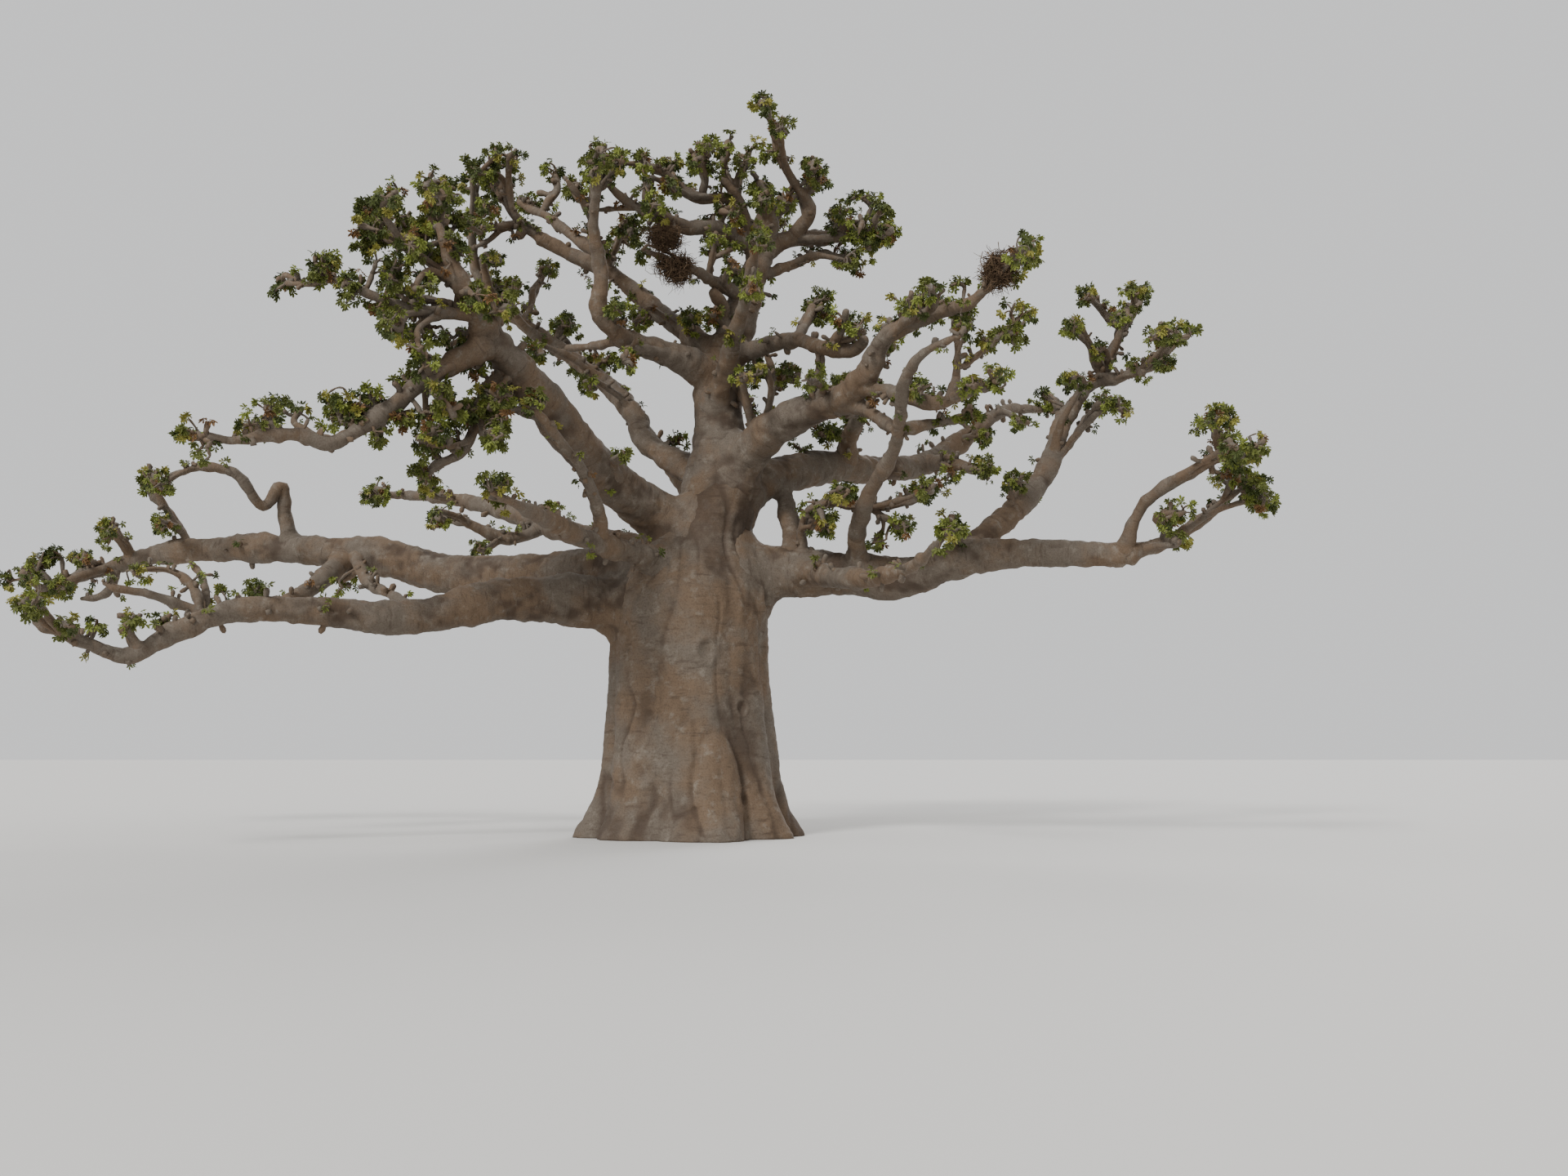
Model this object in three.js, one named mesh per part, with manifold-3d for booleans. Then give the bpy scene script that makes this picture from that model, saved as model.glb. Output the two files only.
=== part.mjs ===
// A mature baobab: a stout fluted trunk, long bare boughs and tufts of leaves at their ends.
// Millimetres, +Z up, +Y away from the front. The origin is the middle of the cut at ground level.
import * as THREE from 'three';
import { mergeVertices } from 'three/addons/utils/BufferGeometryUtils.js';
import Module from 'manifold-3d';

const wasm = await Module();
wasm.setup();

// Driving dimensions. Places and radii in the tables below are metres, as on the standing tree.
const METRE = 1000;
const EYE_HEIGHT = 1.55;
const EYE_SIDE = 1.7;
const EYE_DISTANCE = 27;
const JOINT_GAP = 0.45;
const SLIVER = 0.05;
const SAME_POINT = 1e-4;

// Trunk: height, sideways lean of its axis and mean radius, from the ground to the fork.
const TRUNK_PROFILE = [
  [0.0, 0.0, 1.98],
  [0.3, 0.0, 1.8],
  [0.8, -0.01, 1.63],
  [1.7, -0.02, 1.51],
  [2.8, -0.04, 1.43],
  [3.6, -0.03, 1.41],
  [4.3, 0.0, 1.42],
  [4.9, 0.08, 1.22],
  [5.4, 0.16, 0.98],
  [5.9, 0.36, 0.82],
  [6.3, 0.55, 0.72],
  [6.7, 0.58, 0.45],
];
const TRUNK_SIDES = 36;
// Flutes: shares of the radius at the ground and higher up, and the height over which they fade.
const FLUTES = 9;
const FLUTE_DEPTH = 0.13;
const FLUTE_HEIGHT = 0.9;
const FOLD_DEPTH = 0.025;
const FLUTE_DRIFT = 0.7;
const BROAD_LOBES = 5;
const BROAD_SHARE = 0.35;

// Limbs and masses: how their solids are faceted and shaped.
const SPINE_SAMPLES = 200;
const TAPER_POWER = 0.75;
const RING_SPACING = 1.5;
const THICK_LIMB = 0.3;
const THICK_SIDES = 7;
const THIN_SIDES = 6;
const FEWEST_RINGS = 4;
const ROUND_LOBE = 0.43;
const COARSE_SWELL = 1.12;
const MASS_UNEVENNESS = 0.12;
const MASS_DEPTH_SWING = 0.2;

const BARK = { color: 0x6e6052, roughness: 0.93, metalness: 0 };
const LEAVES = { color: 0x626a36, roughness: 0.8, metalness: 0 };
const DRY_TWIGS = { color: 0x5d4a38, roughness: 0.95, metalness: 0 };

// Every waypoint is [side, height, back]: where the limb shows on the upright plane through the
// trunk for an eye in front of the tree, and how far behind that plane (+) it really lies.
// at: where it leaves its parent. thick: radius at the start and at the tip.
// into: the mass of foliage in which it ends.
const LIMBS = {
  centre_column: {
    from: 'trunk', at: [0.55, 5.9], thick: [0.66, 0.19],
    way: [
      [0.5, 7.0, 0], [0.46, 8.0, 0], [0.65, 9.0, 0.1], [0.97, 10.0, 0.2], [1.28, 10.95, 0.3],
      [1.4, 11.5, 0.3],
    ],
  },
  left_low_bough: {
    from: 'trunk', at: [-0.3, 4.1], thick: [0.6, 0.1], into: 'foliage_left_low_tip',
    way: [
      [-1.6, 4.22, -0.4], [-3.5, 4.28, -1.2], [-5.5, 3.95, -2.0], [-7.0, 4.1, -2.6],
      [-8.5, 4.1, -3.1], [-9.5, 3.7, -3.5], [-10.4, 3.28, -3.8], [-11.3, 3.57, -4.1],
      [-12.15, 3.95, -4.3],
    ],
  },
  left_high_bough: {
    from: 'trunk', at: [-0.2, 4.65], thick: [0.62, 0.1], into: 'foliage_left_high_tip',
    way: [
      [-1.6, 4.8, 0.4], [-3.0, 4.7, 0.8], [-4.5, 4.78, 1.2], [-5.7, 5.08, 1.5],
      [-7.0, 5.22, 1.8], [-8.6, 5.24, 2.1], [-10.0, 5.13, 2.3], [-10.9, 4.85, 2.4],
      [-11.85, 4.6, 2.5],
    ],
  },
  right_low_bough: {
    from: 'trunk', at: [0.2, 4.4], thick: [0.72, 0.2],
    way: [
      [1.5, 4.8, -0.1], [3.0, 4.82, -0.5], [4.0, 4.76, -0.8], [5.2, 5.08, -1.1],
      [6.5, 5.17, -1.4], [8.1, 5.13, -1.8],
    ],
  },
  left_great_bough: {
    from: 'trunk', at: [0.1, 5.4], thick: [0.56, 0.25],
    way: [
      [-0.8, 5.95, -0.5], [-1.4, 6.45, -1.1], [-2.28, 7.33, -2.1], [-3.2, 8.5, -3.2],
      [-3.95, 9.3, -4.0],
    ],
  },
  right_great_bough: {
    from: 'trunk', at: [0.6, 6.1], thick: [0.48, 0.07], into: 'foliage_right_crest',
    way: [
      [1.1, 7.1, -0.5], [1.75, 7.65, -1.2], [2.9, 8.15, -2.2], [3.3, 8.6, -2.8],
      [3.6, 9.25, -3.2], [4.5, 9.7, -3.7], [5.25, 9.97, -4.1], [6.0, 10.7, -4.5],
    ],
  },
  right_middle_bough: {
    from: 'trunk', at: [0.45, 5.8], thick: [0.46, 0.08], into: 'foliage_right_middle_tip',
    way: [
      [1.5, 6.6, 0.7], [2.5, 6.77, 1.8], [3.5, 6.75, 2.9], [4.3, 6.85, 3.8],
      [5.15, 7.4, 4.7], [5.87, 7.87, 5.5], [6.9, 7.85, 6.3],
    ],
  },
  back_bough: {
    from: 'trunk', at: [0.1, 5.2], thick: [0.45, 0.11], into: 'foliage_back',
    way: [[0.0, 5.6, 1.6], [0.15, 6.1, 3.2], [0.45, 6.9, 4.9], [0.6, 7.7, 6.2], [0.6, 8.6, 7.2]],
  },
  left_middle_bough: {
    from: 'trunk', at: [0.1, 5.0], thick: [0.32, 0.06], into: 'foliage_left_middle_tip',
    way: [
      [-0.9, 5.25, 1.0], [-2.1, 5.5, 2.3], [-3.05, 5.98, 3.6], [-4.2, 6.3, 4.8],
      [-5.3, 6.42, 5.9], [-6.0, 6.25, 6.5],
    ],
  },
  left_front_bough: {
    from: 'trunk', at: [0.0, 4.8], thick: [0.3, 0.08], into: 'foliage_left_front',
    way: [[-1.2, 5.2, -1.6], [-2.1, 5.5, -3.0], [-2.9, 5.9, -4.3], [-3.75, 6.32, -5.5]],
  },
  right_front_bough: {
    from: 'right_low_bough', at: [2.0, 4.85], thick: [0.27, 0.07], into: 'foliage_right_front',
    way: [[2.7, 4.72, -1.8], [3.4, 4.72, -3.2], [4.1, 4.95, -4.5], [4.75, 5.55, -5.6]],
  },
  left_inner_bough: {
    from: 'centre_column', at: [0.5, 6.45], thick: [0.27, 0.08], into: 'foliage_left_inner_top',
    way: [
      [-0.1, 6.72, 0.5], [-0.87, 7.35, 1.0], [-1.02, 7.75, 1.2], [-1.5, 8.3, 1.5],
      [-2.43, 8.98, 1.9],
      [-3.55, 9.8, 2.0], [-4.1, 10.5, 1.9], [-4.22, 11.4, 1.7], [-4.15, 12.1, 1.6],
    ],
  },
  left_fork_limb: {
    from: 'centre_column', at: [0.48, 8.5], thick: [0.29, 0.07], into: 'foliage_fork_top',
    way: [
      [-0.42, 8.92, -0.6], [-1.35, 9.28, -1.2], [-1.78, 9.75, -1.5], [-1.76, 10.5, -1.6],
      [-1.93, 11.5, -1.6], [-1.8, 12.5, -1.6],
    ],
  },
  crossing_limb: {
    from: 'centre_column', at: [0.58, 8.85], thick: [0.25, 0.09], into: 'foliage_left_inner_top',
    way: [
      [-0.2, 9.4, 0.6], [-0.88, 9.93, 1.1], [-1.55, 10.48, 1.4], [-2.6, 10.98, 1.6],
      [-3.4, 11.5, 1.5], [-3.72, 12.1, 1.4],
    ],
  },
  top_left_limb: {
    from: 'centre_column', at: [1.25, 10.85], thick: [0.16, 0.08], into: 'foliage_fork_top',
    way: [[0.5, 11.38, -0.3], [-0.3, 11.42, -0.8], [-0.85, 11.75, -1.2], [-0.95, 12.2, -1.4]],
  },
  top_middle_limb: {
    from: 'centre_column', at: [1.2, 10.7], thick: [0.17, 0.08], into: 'foliage_top_middle',
    way: [[1.0, 11.4, 0.5], [0.85, 11.9, 0.5], [0.5, 12.4, 0.4]],
  },
  top_right_limb: {
    from: 'centre_column', at: [1.25, 10.9], thick: [0.2, 0.09], into: 'foliage_top_right',
    way: [[1.8, 11.18, 0.6], [2.5, 11.2, 1.0], [3.2, 11.3, 1.3]],
  },
  top_spire: {
    from: 'top_right_limb', at: [1.85, 11.2], thick: [0.13, 0.06], into: 'foliage_spire',
    way: [[2.2, 11.75, 0.4], [1.9, 12.3, 0.2], [1.62, 12.9, 0], [1.5, 13.5, 0]],
  },
  right_centre_limb: {
    from: 'centre_column', at: [0.62, 8.85], thick: [0.18, 0.12], into: 'foliage_right_centre',
    way: [[1.4, 9.12, -0.7], [1.95, 9.22, -1.3], [2.5, 9.08, -2.0], [2.8, 9.4, -2.4]],
  },
  left_arm: {
    from: 'left_great_bough', at: [-3.85, 9.15], thick: [0.24, 0.08], into: 'foliage_arm_tip',
    way: [
      [-4.95, 8.5, -4.5], [-5.85, 7.8, -4.9], [-6.9, 7.13, -5.3], [-7.9, 7.3, -5.7],
      [-9.1, 7.4, -6.1],
    ],
  },
  left_up_limb: {
    from: 'left_great_bough', at: [-3.85, 9.2], thick: [0.23, 0.08], into: 'foliage_left_top',
    way: [[-4.45, 9.73, -4.3], [-4.83, 10.4, -4.6], [-4.95, 11.3, -4.8]],
  },
  left_out_limb: {
    from: 'left_up_limb', at: [-4.4, 9.65], thick: [0.14, 0.07], into: 'foliage_left_out',
    way: [[-5.2, 9.78, -4.7], [-5.9, 10.0, -4.9], [-6.6, 10.35, -5.1]],
  },
  left_crooked_limb: {
    from: 'left_high_bough', at: [-7.3, 5.2], thick: [0.14, 0.05], into: 'foliage_left_crook',
    way: [
      [-7.55, 5.8, 1.8], [-7.68, 6.42, 1.65], [-7.95, 6.08, 1.5], [-8.55, 6.65, 1.1],
      [-9.25, 6.85, 0.9], [-9.85, 6.5, 0.8],
    ],
  },
  right_reach_limb: {
    from: 'right_great_bough', at: [3.1, 8.3], thick: [0.15, 0.09], into: 'foliage_right_reach',
    way: [[3.7, 8.2, -3.1], [4.6, 8.0, -3.8], [5.1, 8.2, -4.3], [5.75, 8.45, -4.8]],
  },
  front_rising_limb: {
    from: 'right_low_bough', at: [3.0, 4.85], thick: [0.16, 0.08], into: 'foliage_front_rising',
    way: [
      [3.05, 5.45, -1.1], [3.23, 6.18, -1.9], [3.75, 7.08, -2.9], [3.93, 7.7, -3.6],
      [3.9, 8.5, -4.4], [4.57, 9.15, -5.1], [5.3, 9.2, -5.4], [5.95, 9.55, -5.6],
    ],
  },
  right_prop_limb: {
    from: 'right_low_bough', at: [1.95, 4.85], thick: [0.2, 0.15],
    way: [[1.84, 5.5, 0.1], [1.76, 6.0, 0.4], [1.6, 6.6, 0.8]],
  },
  right_rising_bough: {
    from: 'right_low_bough', at: [4.8, 4.98], thick: [0.3, 0.13],
    way: [
      [5.5, 5.65, -0.6], [6.28, 6.28, 0.0], [6.68, 6.9, 0.5], [6.92, 7.65, 1.0],
      [7.38, 8.27, 1.5], [7.74, 8.58, 1.8],
    ],
  },
  right_head_limb: {
    from: 'right_rising_bough', at: [7.65, 8.5], thick: [0.13, 0.06], into: 'foliage_right_head',
    way: [[7.86, 9.0, 1.9], [8.12, 9.5, 2.1], [8.3, 9.95, 2.2]],
  },
  right_side_limb: {
    from: 'right_rising_bough', at: [7.5, 8.4], thick: [0.12, 0.06], into: 'foliage_right_side',
    way: [[8.1, 8.53, 1.5], [8.7, 8.8, 1.2], [9.1, 9.2, 1.0]],
  },
  right_end_upper: {
    from: 'right_low_bough', at: [7.9, 5.13], thick: [0.17, 0.06], into: 'foliage_right_end_upper',
    way: [[8.15, 5.7, -2.0], [8.5, 6.18, -2.3], [9.2, 6.57, -2.7], [10.0, 7.0, -3.0]],
  },
  right_end_lower: {
    from: 'right_low_bough', at: [8.0, 5.13], thick: [0.16, 0.07], into: 'foliage_right_end_lower',
    way: [[8.85, 5.43, -1.7], [9.5, 5.85, -1.6], [10.2, 6.35, -1.5]],
  },
};

// Each mass is a few overlapping lobes, [side, height, radius], at one distance back.
const MASSES = {
  foliage_left_low_tip: { back: -4.3, lobes: [[-12.1, 4.25, 0.38], [-12.28, 4.0, 0.28]] },
  foliage_left_high_tip: {
    back: 2.5,
    lobes: [[-11.85, 4.85, 0.44], [-12.38, 4.78, 0.32], [-11.95, 4.45, 0.3]],
  },
  foliage_left_crook: { back: 0.8, lobes: [[-9.95, 6.45, 0.33], [-10.12, 6.75, 0.24]] },
  foliage_arm_tip: {
    back: -5.9,
    lobes: [[-9.35, 7.42, 0.38], [-8.92, 7.42, 0.34], [-8.48, 7.58, 0.33], [-8.05, 7.75, 0.36]],
  },
  foliage_arm_root: {
    back: -4.9,
    lobes: [[-6.25, 8.05, 0.5], [-5.75, 8.1, 0.42], [-6.75, 7.85, 0.32]],
  },
  foliage_left_droop: {
    back: -3.5,
    lobes: [[-3.75, 8.15, 0.45], [-4.3, 8.0, 0.55], [-4.75, 7.6, 0.42], [-4.85, 7.1, 0.42]],
  },
  foliage_left_out: {
    back: -5.0,
    lobes: [[-5.5, 9.52, 0.5], [-5.98, 9.88, 0.42], [-6.45, 10.2, 0.4], [-6.9, 10.45, 0.45]],
  },
  foliage_left_top: {
    back: -4.8,
    lobes: [[-5.0, 11.7, 0.6], [-5.65, 11.55, 0.5], [-6.2, 11.5, 0.5]],
  },
  foliage_left_inner_top: { back: 1.5, lobes: [[-3.9, 12.5, 0.62], [-3.5, 12.25, 0.45]] },
  foliage_fork_top: {
    back: -1.5,
    lobes: [
      [-2.4, 12.5, 0.36], [-1.95, 12.75, 0.4], [-1.48, 12.6, 0.4], [-1.0, 12.4, 0.4],
      [-0.55, 12.3, 0.42],
    ],
  },
  foliage_top_middle: {
    back: 0.4,
    lobes: [[0.35, 12.65, 0.42], [0.35, 13.0, 0.22], [0.85, 12.75, 0.3]],
  },
  foliage_spire: {
    back: 0,
    lobes: [[1.45, 13.8, 0.37], [1.5, 13.4, 0.3], [1.55, 13.02, 0.32]],
  },
  foliage_top_right: {
    back: 1.4,
    lobes: [[3.3, 11.65, 0.66], [3.0, 11.1, 0.4], [3.7, 11.3, 0.4]],
  },
  twig_tangle_left: { back: -1.1, lobes: [[-0.55, 11.2, 0.42], [-0.38, 10.62, 0.44]] },
  foliage_right_crest: {
    back: -4.6,
    lobes: [[5.85, 10.6, 0.42], [6.1, 10.85, 0.32], [6.35, 11.08, 0.36]],
  },
  foliage_right_ledge: {
    back: -3.8,
    lobes: [[4.1, 9.92, 0.32], [4.5, 10.12, 0.38], [5.0, 10.25, 0.36]],
  },
  foliage_right_centre: { back: -2.4, lobes: [[2.85, 9.65, 0.36], [2.35, 9.75, 0.4]] },
  foliage_right_reach: { back: -4.8, lobes: [[5.85, 8.5, 0.38], [6.2, 8.35, 0.25]] },
  foliage_front_rising: { back: -5.6, lobes: [[5.95, 9.62, 0.42], [6.3, 9.45, 0.28]] },
  foliage_right_head: {
    back: 2.2,
    lobes: [[8.33, 9.98, 0.44], [7.92, 9.85, 0.34], [7.5, 9.82, 0.34], [7.12, 9.62, 0.36]],
  },
  foliage_right_side: { back: 1.0, lobes: [[9.15, 9.3, 0.45], [8.8, 8.95, 0.3]] },
  foliage_right_middle_tip: { back: 6.3, lobes: [[6.95, 7.95, 0.38], [6.5, 7.8, 0.28]] },
  foliage_right_end_upper: {
    back: -3.0,
    lobes: [[9.88, 7.7, 0.42], [10.05, 7.2, 0.34], [10.5, 7.22, 0.28]],
  },
  foliage_right_end_lower: {
    back: -1.5,
    lobes: [[10.3, 6.4, 0.56], [10.75, 6.25, 0.35], [9.95, 6.7, 0.3]],
  },
  foliage_left_middle_tip: { back: 6.5, lobes: [[-6.05, 6.3, 0.34], [-5.65, 6.4, 0.24]] },
  foliage_left_front: { back: -5.6, lobes: [[-3.9, 6.45, 0.36], [-3.5, 6.35, 0.3]] },
  foliage_right_front: { back: -5.7, lobes: [[4.75, 5.72, 0.32], [5.02, 5.6, 0.26]] },
  foliage_back: { back: 7.3, lobes: [[0.6, 8.75, 0.52], [0.98, 8.5, 0.36], [0.25, 8.5, 0.34]] },
};

// How much larger a thing really is than it shows on the upright plane, by its distance back.
function stretchAt(back) {
  return (EYE_DISTANCE + back) / EYE_DISTANCE;
}

// The real place of a waypoint: it slides along the line of sight to its distance back.
function place([side, height, back]) {
  const stretch = stretchAt(back);
  return new THREE.Vector3(
    METRE * (EYE_SIDE + (side - EYE_SIDE) * stretch),
    METRE * back,
    METRE * (EYE_HEIGHT + (height - EYE_HEIGHT) * stretch),
  );
}

// Where a real place shows on the upright plane.
function seenAt(point) {
  const stretch = stretchAt(point.y / METRE);
  return [
    EYE_SIDE + (point.x / METRE - EYE_SIDE) / stretch,
    EYE_HEIGHT + (point.z / METRE - EYE_HEIGHT) / stretch,
  ];
}

// Numbers between 0 and 1 that are the same each time.
function seededRandom(seed) {
  let state = seed;
  return () => {
    state = (state * 1664525 + 1013904223) % 4294967296;
    return state / 4294967296;
  };
}

function solidOf(geometry) {
  return new wasm.Manifold(new wasm.Mesh({
    numProp: 3,
    vertProperties: new Float32Array(geometry.attributes.position.array),
    triVerts: new Uint32Array(geometry.index.array),
  }));
}

function geometryOf(solid) {
  const { vertProperties, triVerts } = solid.getMesh();
  const geometry = new THREE.BufferGeometry();
  geometry.setAttribute('position', new THREE.BufferAttribute(vertProperties, 3));
  geometry.setIndex(new THREE.BufferAttribute(triVerts, 1));
  geometry.computeVertexNormals();
  return geometry;
}

// A closed skin over rings of points, with a fan over each end.
function loft(rings) {
  const sides = rings[0].length;
  const points = rings.flat();
  const faces = [];
  for (let i = 0; i + 1 < rings.length; i += 1) {
    for (let k = 0; k < sides; k += 1) {
      const next = (k + 1) % sides;
      const low = i * sides;
      const high = low + sides;
      faces.push(low + k, low + next, high + next, low + k, high + next, high + k);
    }
  }
  for (const end of [0, rings.length - 1]) {
    const middle = new THREE.Vector3();
    rings[end].forEach((point) => middle.addScaledVector(point, 1 / sides));
    const hub = points.push(middle) - 1;
    for (let k = 0; k < sides; k += 1) {
      const next = (k + 1) % sides;
      const [first, second] = end === 0 ? [next, k] : [k, next];
      faces.push(hub, end * sides + first, end * sides + second);
    }
  }
  const geometry = new THREE.BufferGeometry().setFromPoints(points);
  geometry.setIndex(faces);
  return geometry;
}

// Trunk: rings with rounded flutes that flare towards the ground and fade upwards.
const trunkSpine = new THREE.CatmullRomCurve3(
  TRUNK_PROFILE.map(([height, lean]) => new THREE.Vector3(lean, 0, height).multiplyScalar(METRE)),
);

function fluteAt(angle, height) {
  const fine = Math.cos(FLUTES * angle + FLUTE_DRIFT * Math.sin(2 * angle));
  const wave = fine + BROAD_SHARE * Math.cos(BROAD_LOBES * angle + 1);
  return FLUTE_DEPTH * Math.exp(-height / FLUTE_HEIGHT) * wave + FOLD_DEPTH * wave;
}

function trunkRings(grow) {
  return TRUNK_PROFILE.map(([height, lean, radius]) => {
    const ring = [];
    for (let k = 0; k < TRUNK_SIDES; k += 1) {
      const angle = (2 * Math.PI * k) / TRUNK_SIDES;
      const reach = METRE * radius * (1 + fluteAt(angle, height)) + grow;
      ring.push(new THREE.Vector3(
        METRE * lean + reach * Math.cos(angle),
        reach * Math.sin(angle),
        METRE * height,
      ));
    }
    return ring;
  });
}

// Limbs: tapering tubes along smooth spines that start inside the parent.
function nearestOnSpine(spine, [side, height]) {
  let best = null;
  let least = Infinity;
  for (const point of spine.getSpacedPoints(SPINE_SAMPLES)) {
    const [x, z] = seenAt(point);
    const gap = Math.hypot(x - side, z - height);
    if (gap < least) {
      least = gap;
      best = point;
    }
  }
  return best;
}

function limbSpine(limb, parentSpine) {
  const start = nearestOnSpine(parentSpine, limb.at);
  return new THREE.CatmullRomCurve3([start, ...limb.way.map(place)], false, 'centripetal');
}

function limbRings(spine, [startRadius, tipRadius], grow) {
  const byLength = Math.round(spine.getLength() / METRE / RING_SPACING);
  const steps = Math.max(FEWEST_RINGS, spine.points.length, byLength);
  const sides = startRadius > THICK_LIMB ? THICK_SIDES : THIN_SIDES;
  const frames = spine.computeFrenetFrames(steps, false);
  const rings = [];
  for (let i = 0; i <= steps; i += 1) {
    const share = i / steps;
    const outwards = (i === steps) - (i === 0);
    const centre = spine.getPointAt(share).addScaledVector(frames.tangents[i], outwards * grow);
    const radius = startRadius + (tipRadius - startRadius) * share ** TAPER_POWER;
    const reach = METRE * radius * stretchAt(centre.y / METRE) + grow;
    const ring = [];
    for (let k = 0; k < sides; k += 1) {
      const angle = (2 * Math.PI * k) / sides;
      ring.push(centre.clone()
        .addScaledVector(frames.normals[i], reach * Math.cos(angle))
        .addScaledVector(frames.binormals[i], reach * Math.sin(angle)));
    }
    rings.push(ring);
  }
  return rings;
}

// Masses: uneven lobes joined into one closed solid.
function lobeGeometry(centre, radius, random) {
  const coarse = radius < ROUND_LOBE * METRE;
  const ball = new THREE.IcosahedronGeometry(1, coarse ? 0 : 1);
  ball.deleteAttribute('normal');
  ball.deleteAttribute('uv');
  const geometry = mergeVertices(ball, SAME_POINT);
  const position = geometry.attributes.position;
  const point = new THREE.Vector3();
  for (let i = 0; i < position.count; i += 1) {
    const swell = (coarse ? COARSE_SWELL : 1) + MASS_UNEVENNESS * (2 * random() - 1);
    point.fromBufferAttribute(position, i).normalize().multiplyScalar(radius * swell).add(centre);
    position.setXYZ(i, point.x, point.y, point.z);
  }
  return geometry;
}

function massSolid({ back, lobes }, seed, grow) {
  const random = seededRandom(seed);
  const balls = lobes.map(([side, height, radius], i) => {
    const swing = MASS_DEPTH_SWING * radius * (i % 2 ? 1 : -1);
    const reach = METRE * radius * stretchAt(back) + grow;
    return solidOf(lobeGeometry(place([side, height, back + swing]), reach, random));
  });
  return balls.reduce((joined, ball) => joined.add(ball));
}

function overlaps(a, b) {
  const one = a.boundingBox();
  const two = b.boundingBox();
  return [0, 1, 2].every((i) => one.min[i] < two.max[i] && two.min[i] < one.max[i]);
}

// What is left of a solid once its neighbours are cut away: its largest piece, without slivers.
function cutBy(solid, neighbours) {
  const cut = neighbours
    .filter((other) => overlaps(solid, other))
    .reduce((left, other) => left.subtract(other), solid);
  const pieces = cut.decompose().sort((a, b) => b.volume() - a.volume());
  return pieces[0].simplify(SLIVER);
}

const spines = { trunk: trunkSpine };
const masses = Object.entries(MASSES).map(([name, mass], i) => ({
  name,
  whole: massSolid(mass, i + 1, 0),
  grown: massSolid(mass, i + 1, JOINT_GAP),
}));

const limbs = Object.entries(LIMBS).map(([name, limb]) => {
  spines[name] = limbSpine(limb, spines[limb.from]);
  return {
    name,
    into: limb.into,
    whole: solidOf(loft(limbRings(spines[name], limb.thick, 0))),
    grown: solidOf(loft(limbRings(spines[name], limb.thick, JOINT_GAP))),
  };
});

const tree = new THREE.Group();
tree.name = 'baobab_tree';

function addNode(name, geometry, finish) {
  const mesh = new THREE.Mesh(geometry, new THREE.MeshStandardMaterial({ ...finish, flatShading: true }));
  mesh.name = name;
  tree.add(mesh);
}

addNode('trunk', loft(trunkRings(0)), BARK);

const grownTrunk = solidOf(loft(trunkRings(JOINT_GAP)));
limbs.forEach((limb, i) => {
  const earlier = limbs.slice(0, i).map((other) => other.grown);
  const ends = masses.filter((mass) => mass.name === limb.into).map((mass) => mass.grown);
  addNode(limb.name, geometryOf(cutBy(limb.whole, [grownTrunk, ...earlier, ...ends])), BARK);
});

masses.forEach((mass, i) => {
  const earlier = masses.slice(0, i).map((other) => other.grown);
  const passing = limbs.filter((limb) => limb.into !== mass.name).map((limb) => limb.grown);
  const finish = mass.name.startsWith('twig_tangle') ? DRY_TWIGS : LEAVES;
  addNode(mass.name, geometryOf(cutBy(mass.whole, [grownTrunk, ...passing, ...earlier])), finish);
});

export default tree;
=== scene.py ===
"""A mature baobab: a stout fluted trunk, bare club-ended boughs and tufts of palmate leaves at their tips.

Metres, +Z up, +Y away from the front. The tree is rooted in level ground at height 0. The limbs' waypoints
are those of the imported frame, and every twig and leaf grows on from a limb by a seeded rule.
"""

import functools
import itertools
import math

import bpy
import numpy as np
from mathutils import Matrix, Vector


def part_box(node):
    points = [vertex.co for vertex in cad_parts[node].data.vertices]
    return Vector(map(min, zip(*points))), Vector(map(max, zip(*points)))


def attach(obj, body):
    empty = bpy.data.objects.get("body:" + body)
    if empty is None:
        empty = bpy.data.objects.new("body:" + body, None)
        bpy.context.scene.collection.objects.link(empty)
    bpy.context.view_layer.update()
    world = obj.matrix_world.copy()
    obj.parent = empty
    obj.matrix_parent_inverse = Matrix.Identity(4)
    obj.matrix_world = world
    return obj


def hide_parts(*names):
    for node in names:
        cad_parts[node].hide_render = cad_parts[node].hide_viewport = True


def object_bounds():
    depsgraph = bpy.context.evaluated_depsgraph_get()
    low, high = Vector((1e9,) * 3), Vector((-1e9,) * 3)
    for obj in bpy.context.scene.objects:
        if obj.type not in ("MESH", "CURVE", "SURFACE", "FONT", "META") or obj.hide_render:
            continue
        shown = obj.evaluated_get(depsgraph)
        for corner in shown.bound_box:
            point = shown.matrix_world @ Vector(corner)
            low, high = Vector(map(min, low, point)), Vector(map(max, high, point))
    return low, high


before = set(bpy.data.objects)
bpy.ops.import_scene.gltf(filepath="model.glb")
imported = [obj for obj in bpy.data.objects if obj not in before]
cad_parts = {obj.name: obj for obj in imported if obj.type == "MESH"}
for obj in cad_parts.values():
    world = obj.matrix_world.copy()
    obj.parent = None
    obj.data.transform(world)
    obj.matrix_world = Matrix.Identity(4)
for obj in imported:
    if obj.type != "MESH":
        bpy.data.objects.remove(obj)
CAD_BOX = [list(corner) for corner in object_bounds()]

bl_info = {
    "name": "Baobab Tree",
    "version": (1, 0, 0),
    "blender": (4, 5, 0),
    "location": "View3D > Sidebar > Baobab",
    "description": "Builds a mature baobab with folded bark, knobby twigs and palmate leaves",
    "category": "Add Mesh",
}

BODY = "root"
UP = np.array([0.0, 0.0, 1.0])
TRUNK = "trunk"

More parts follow.
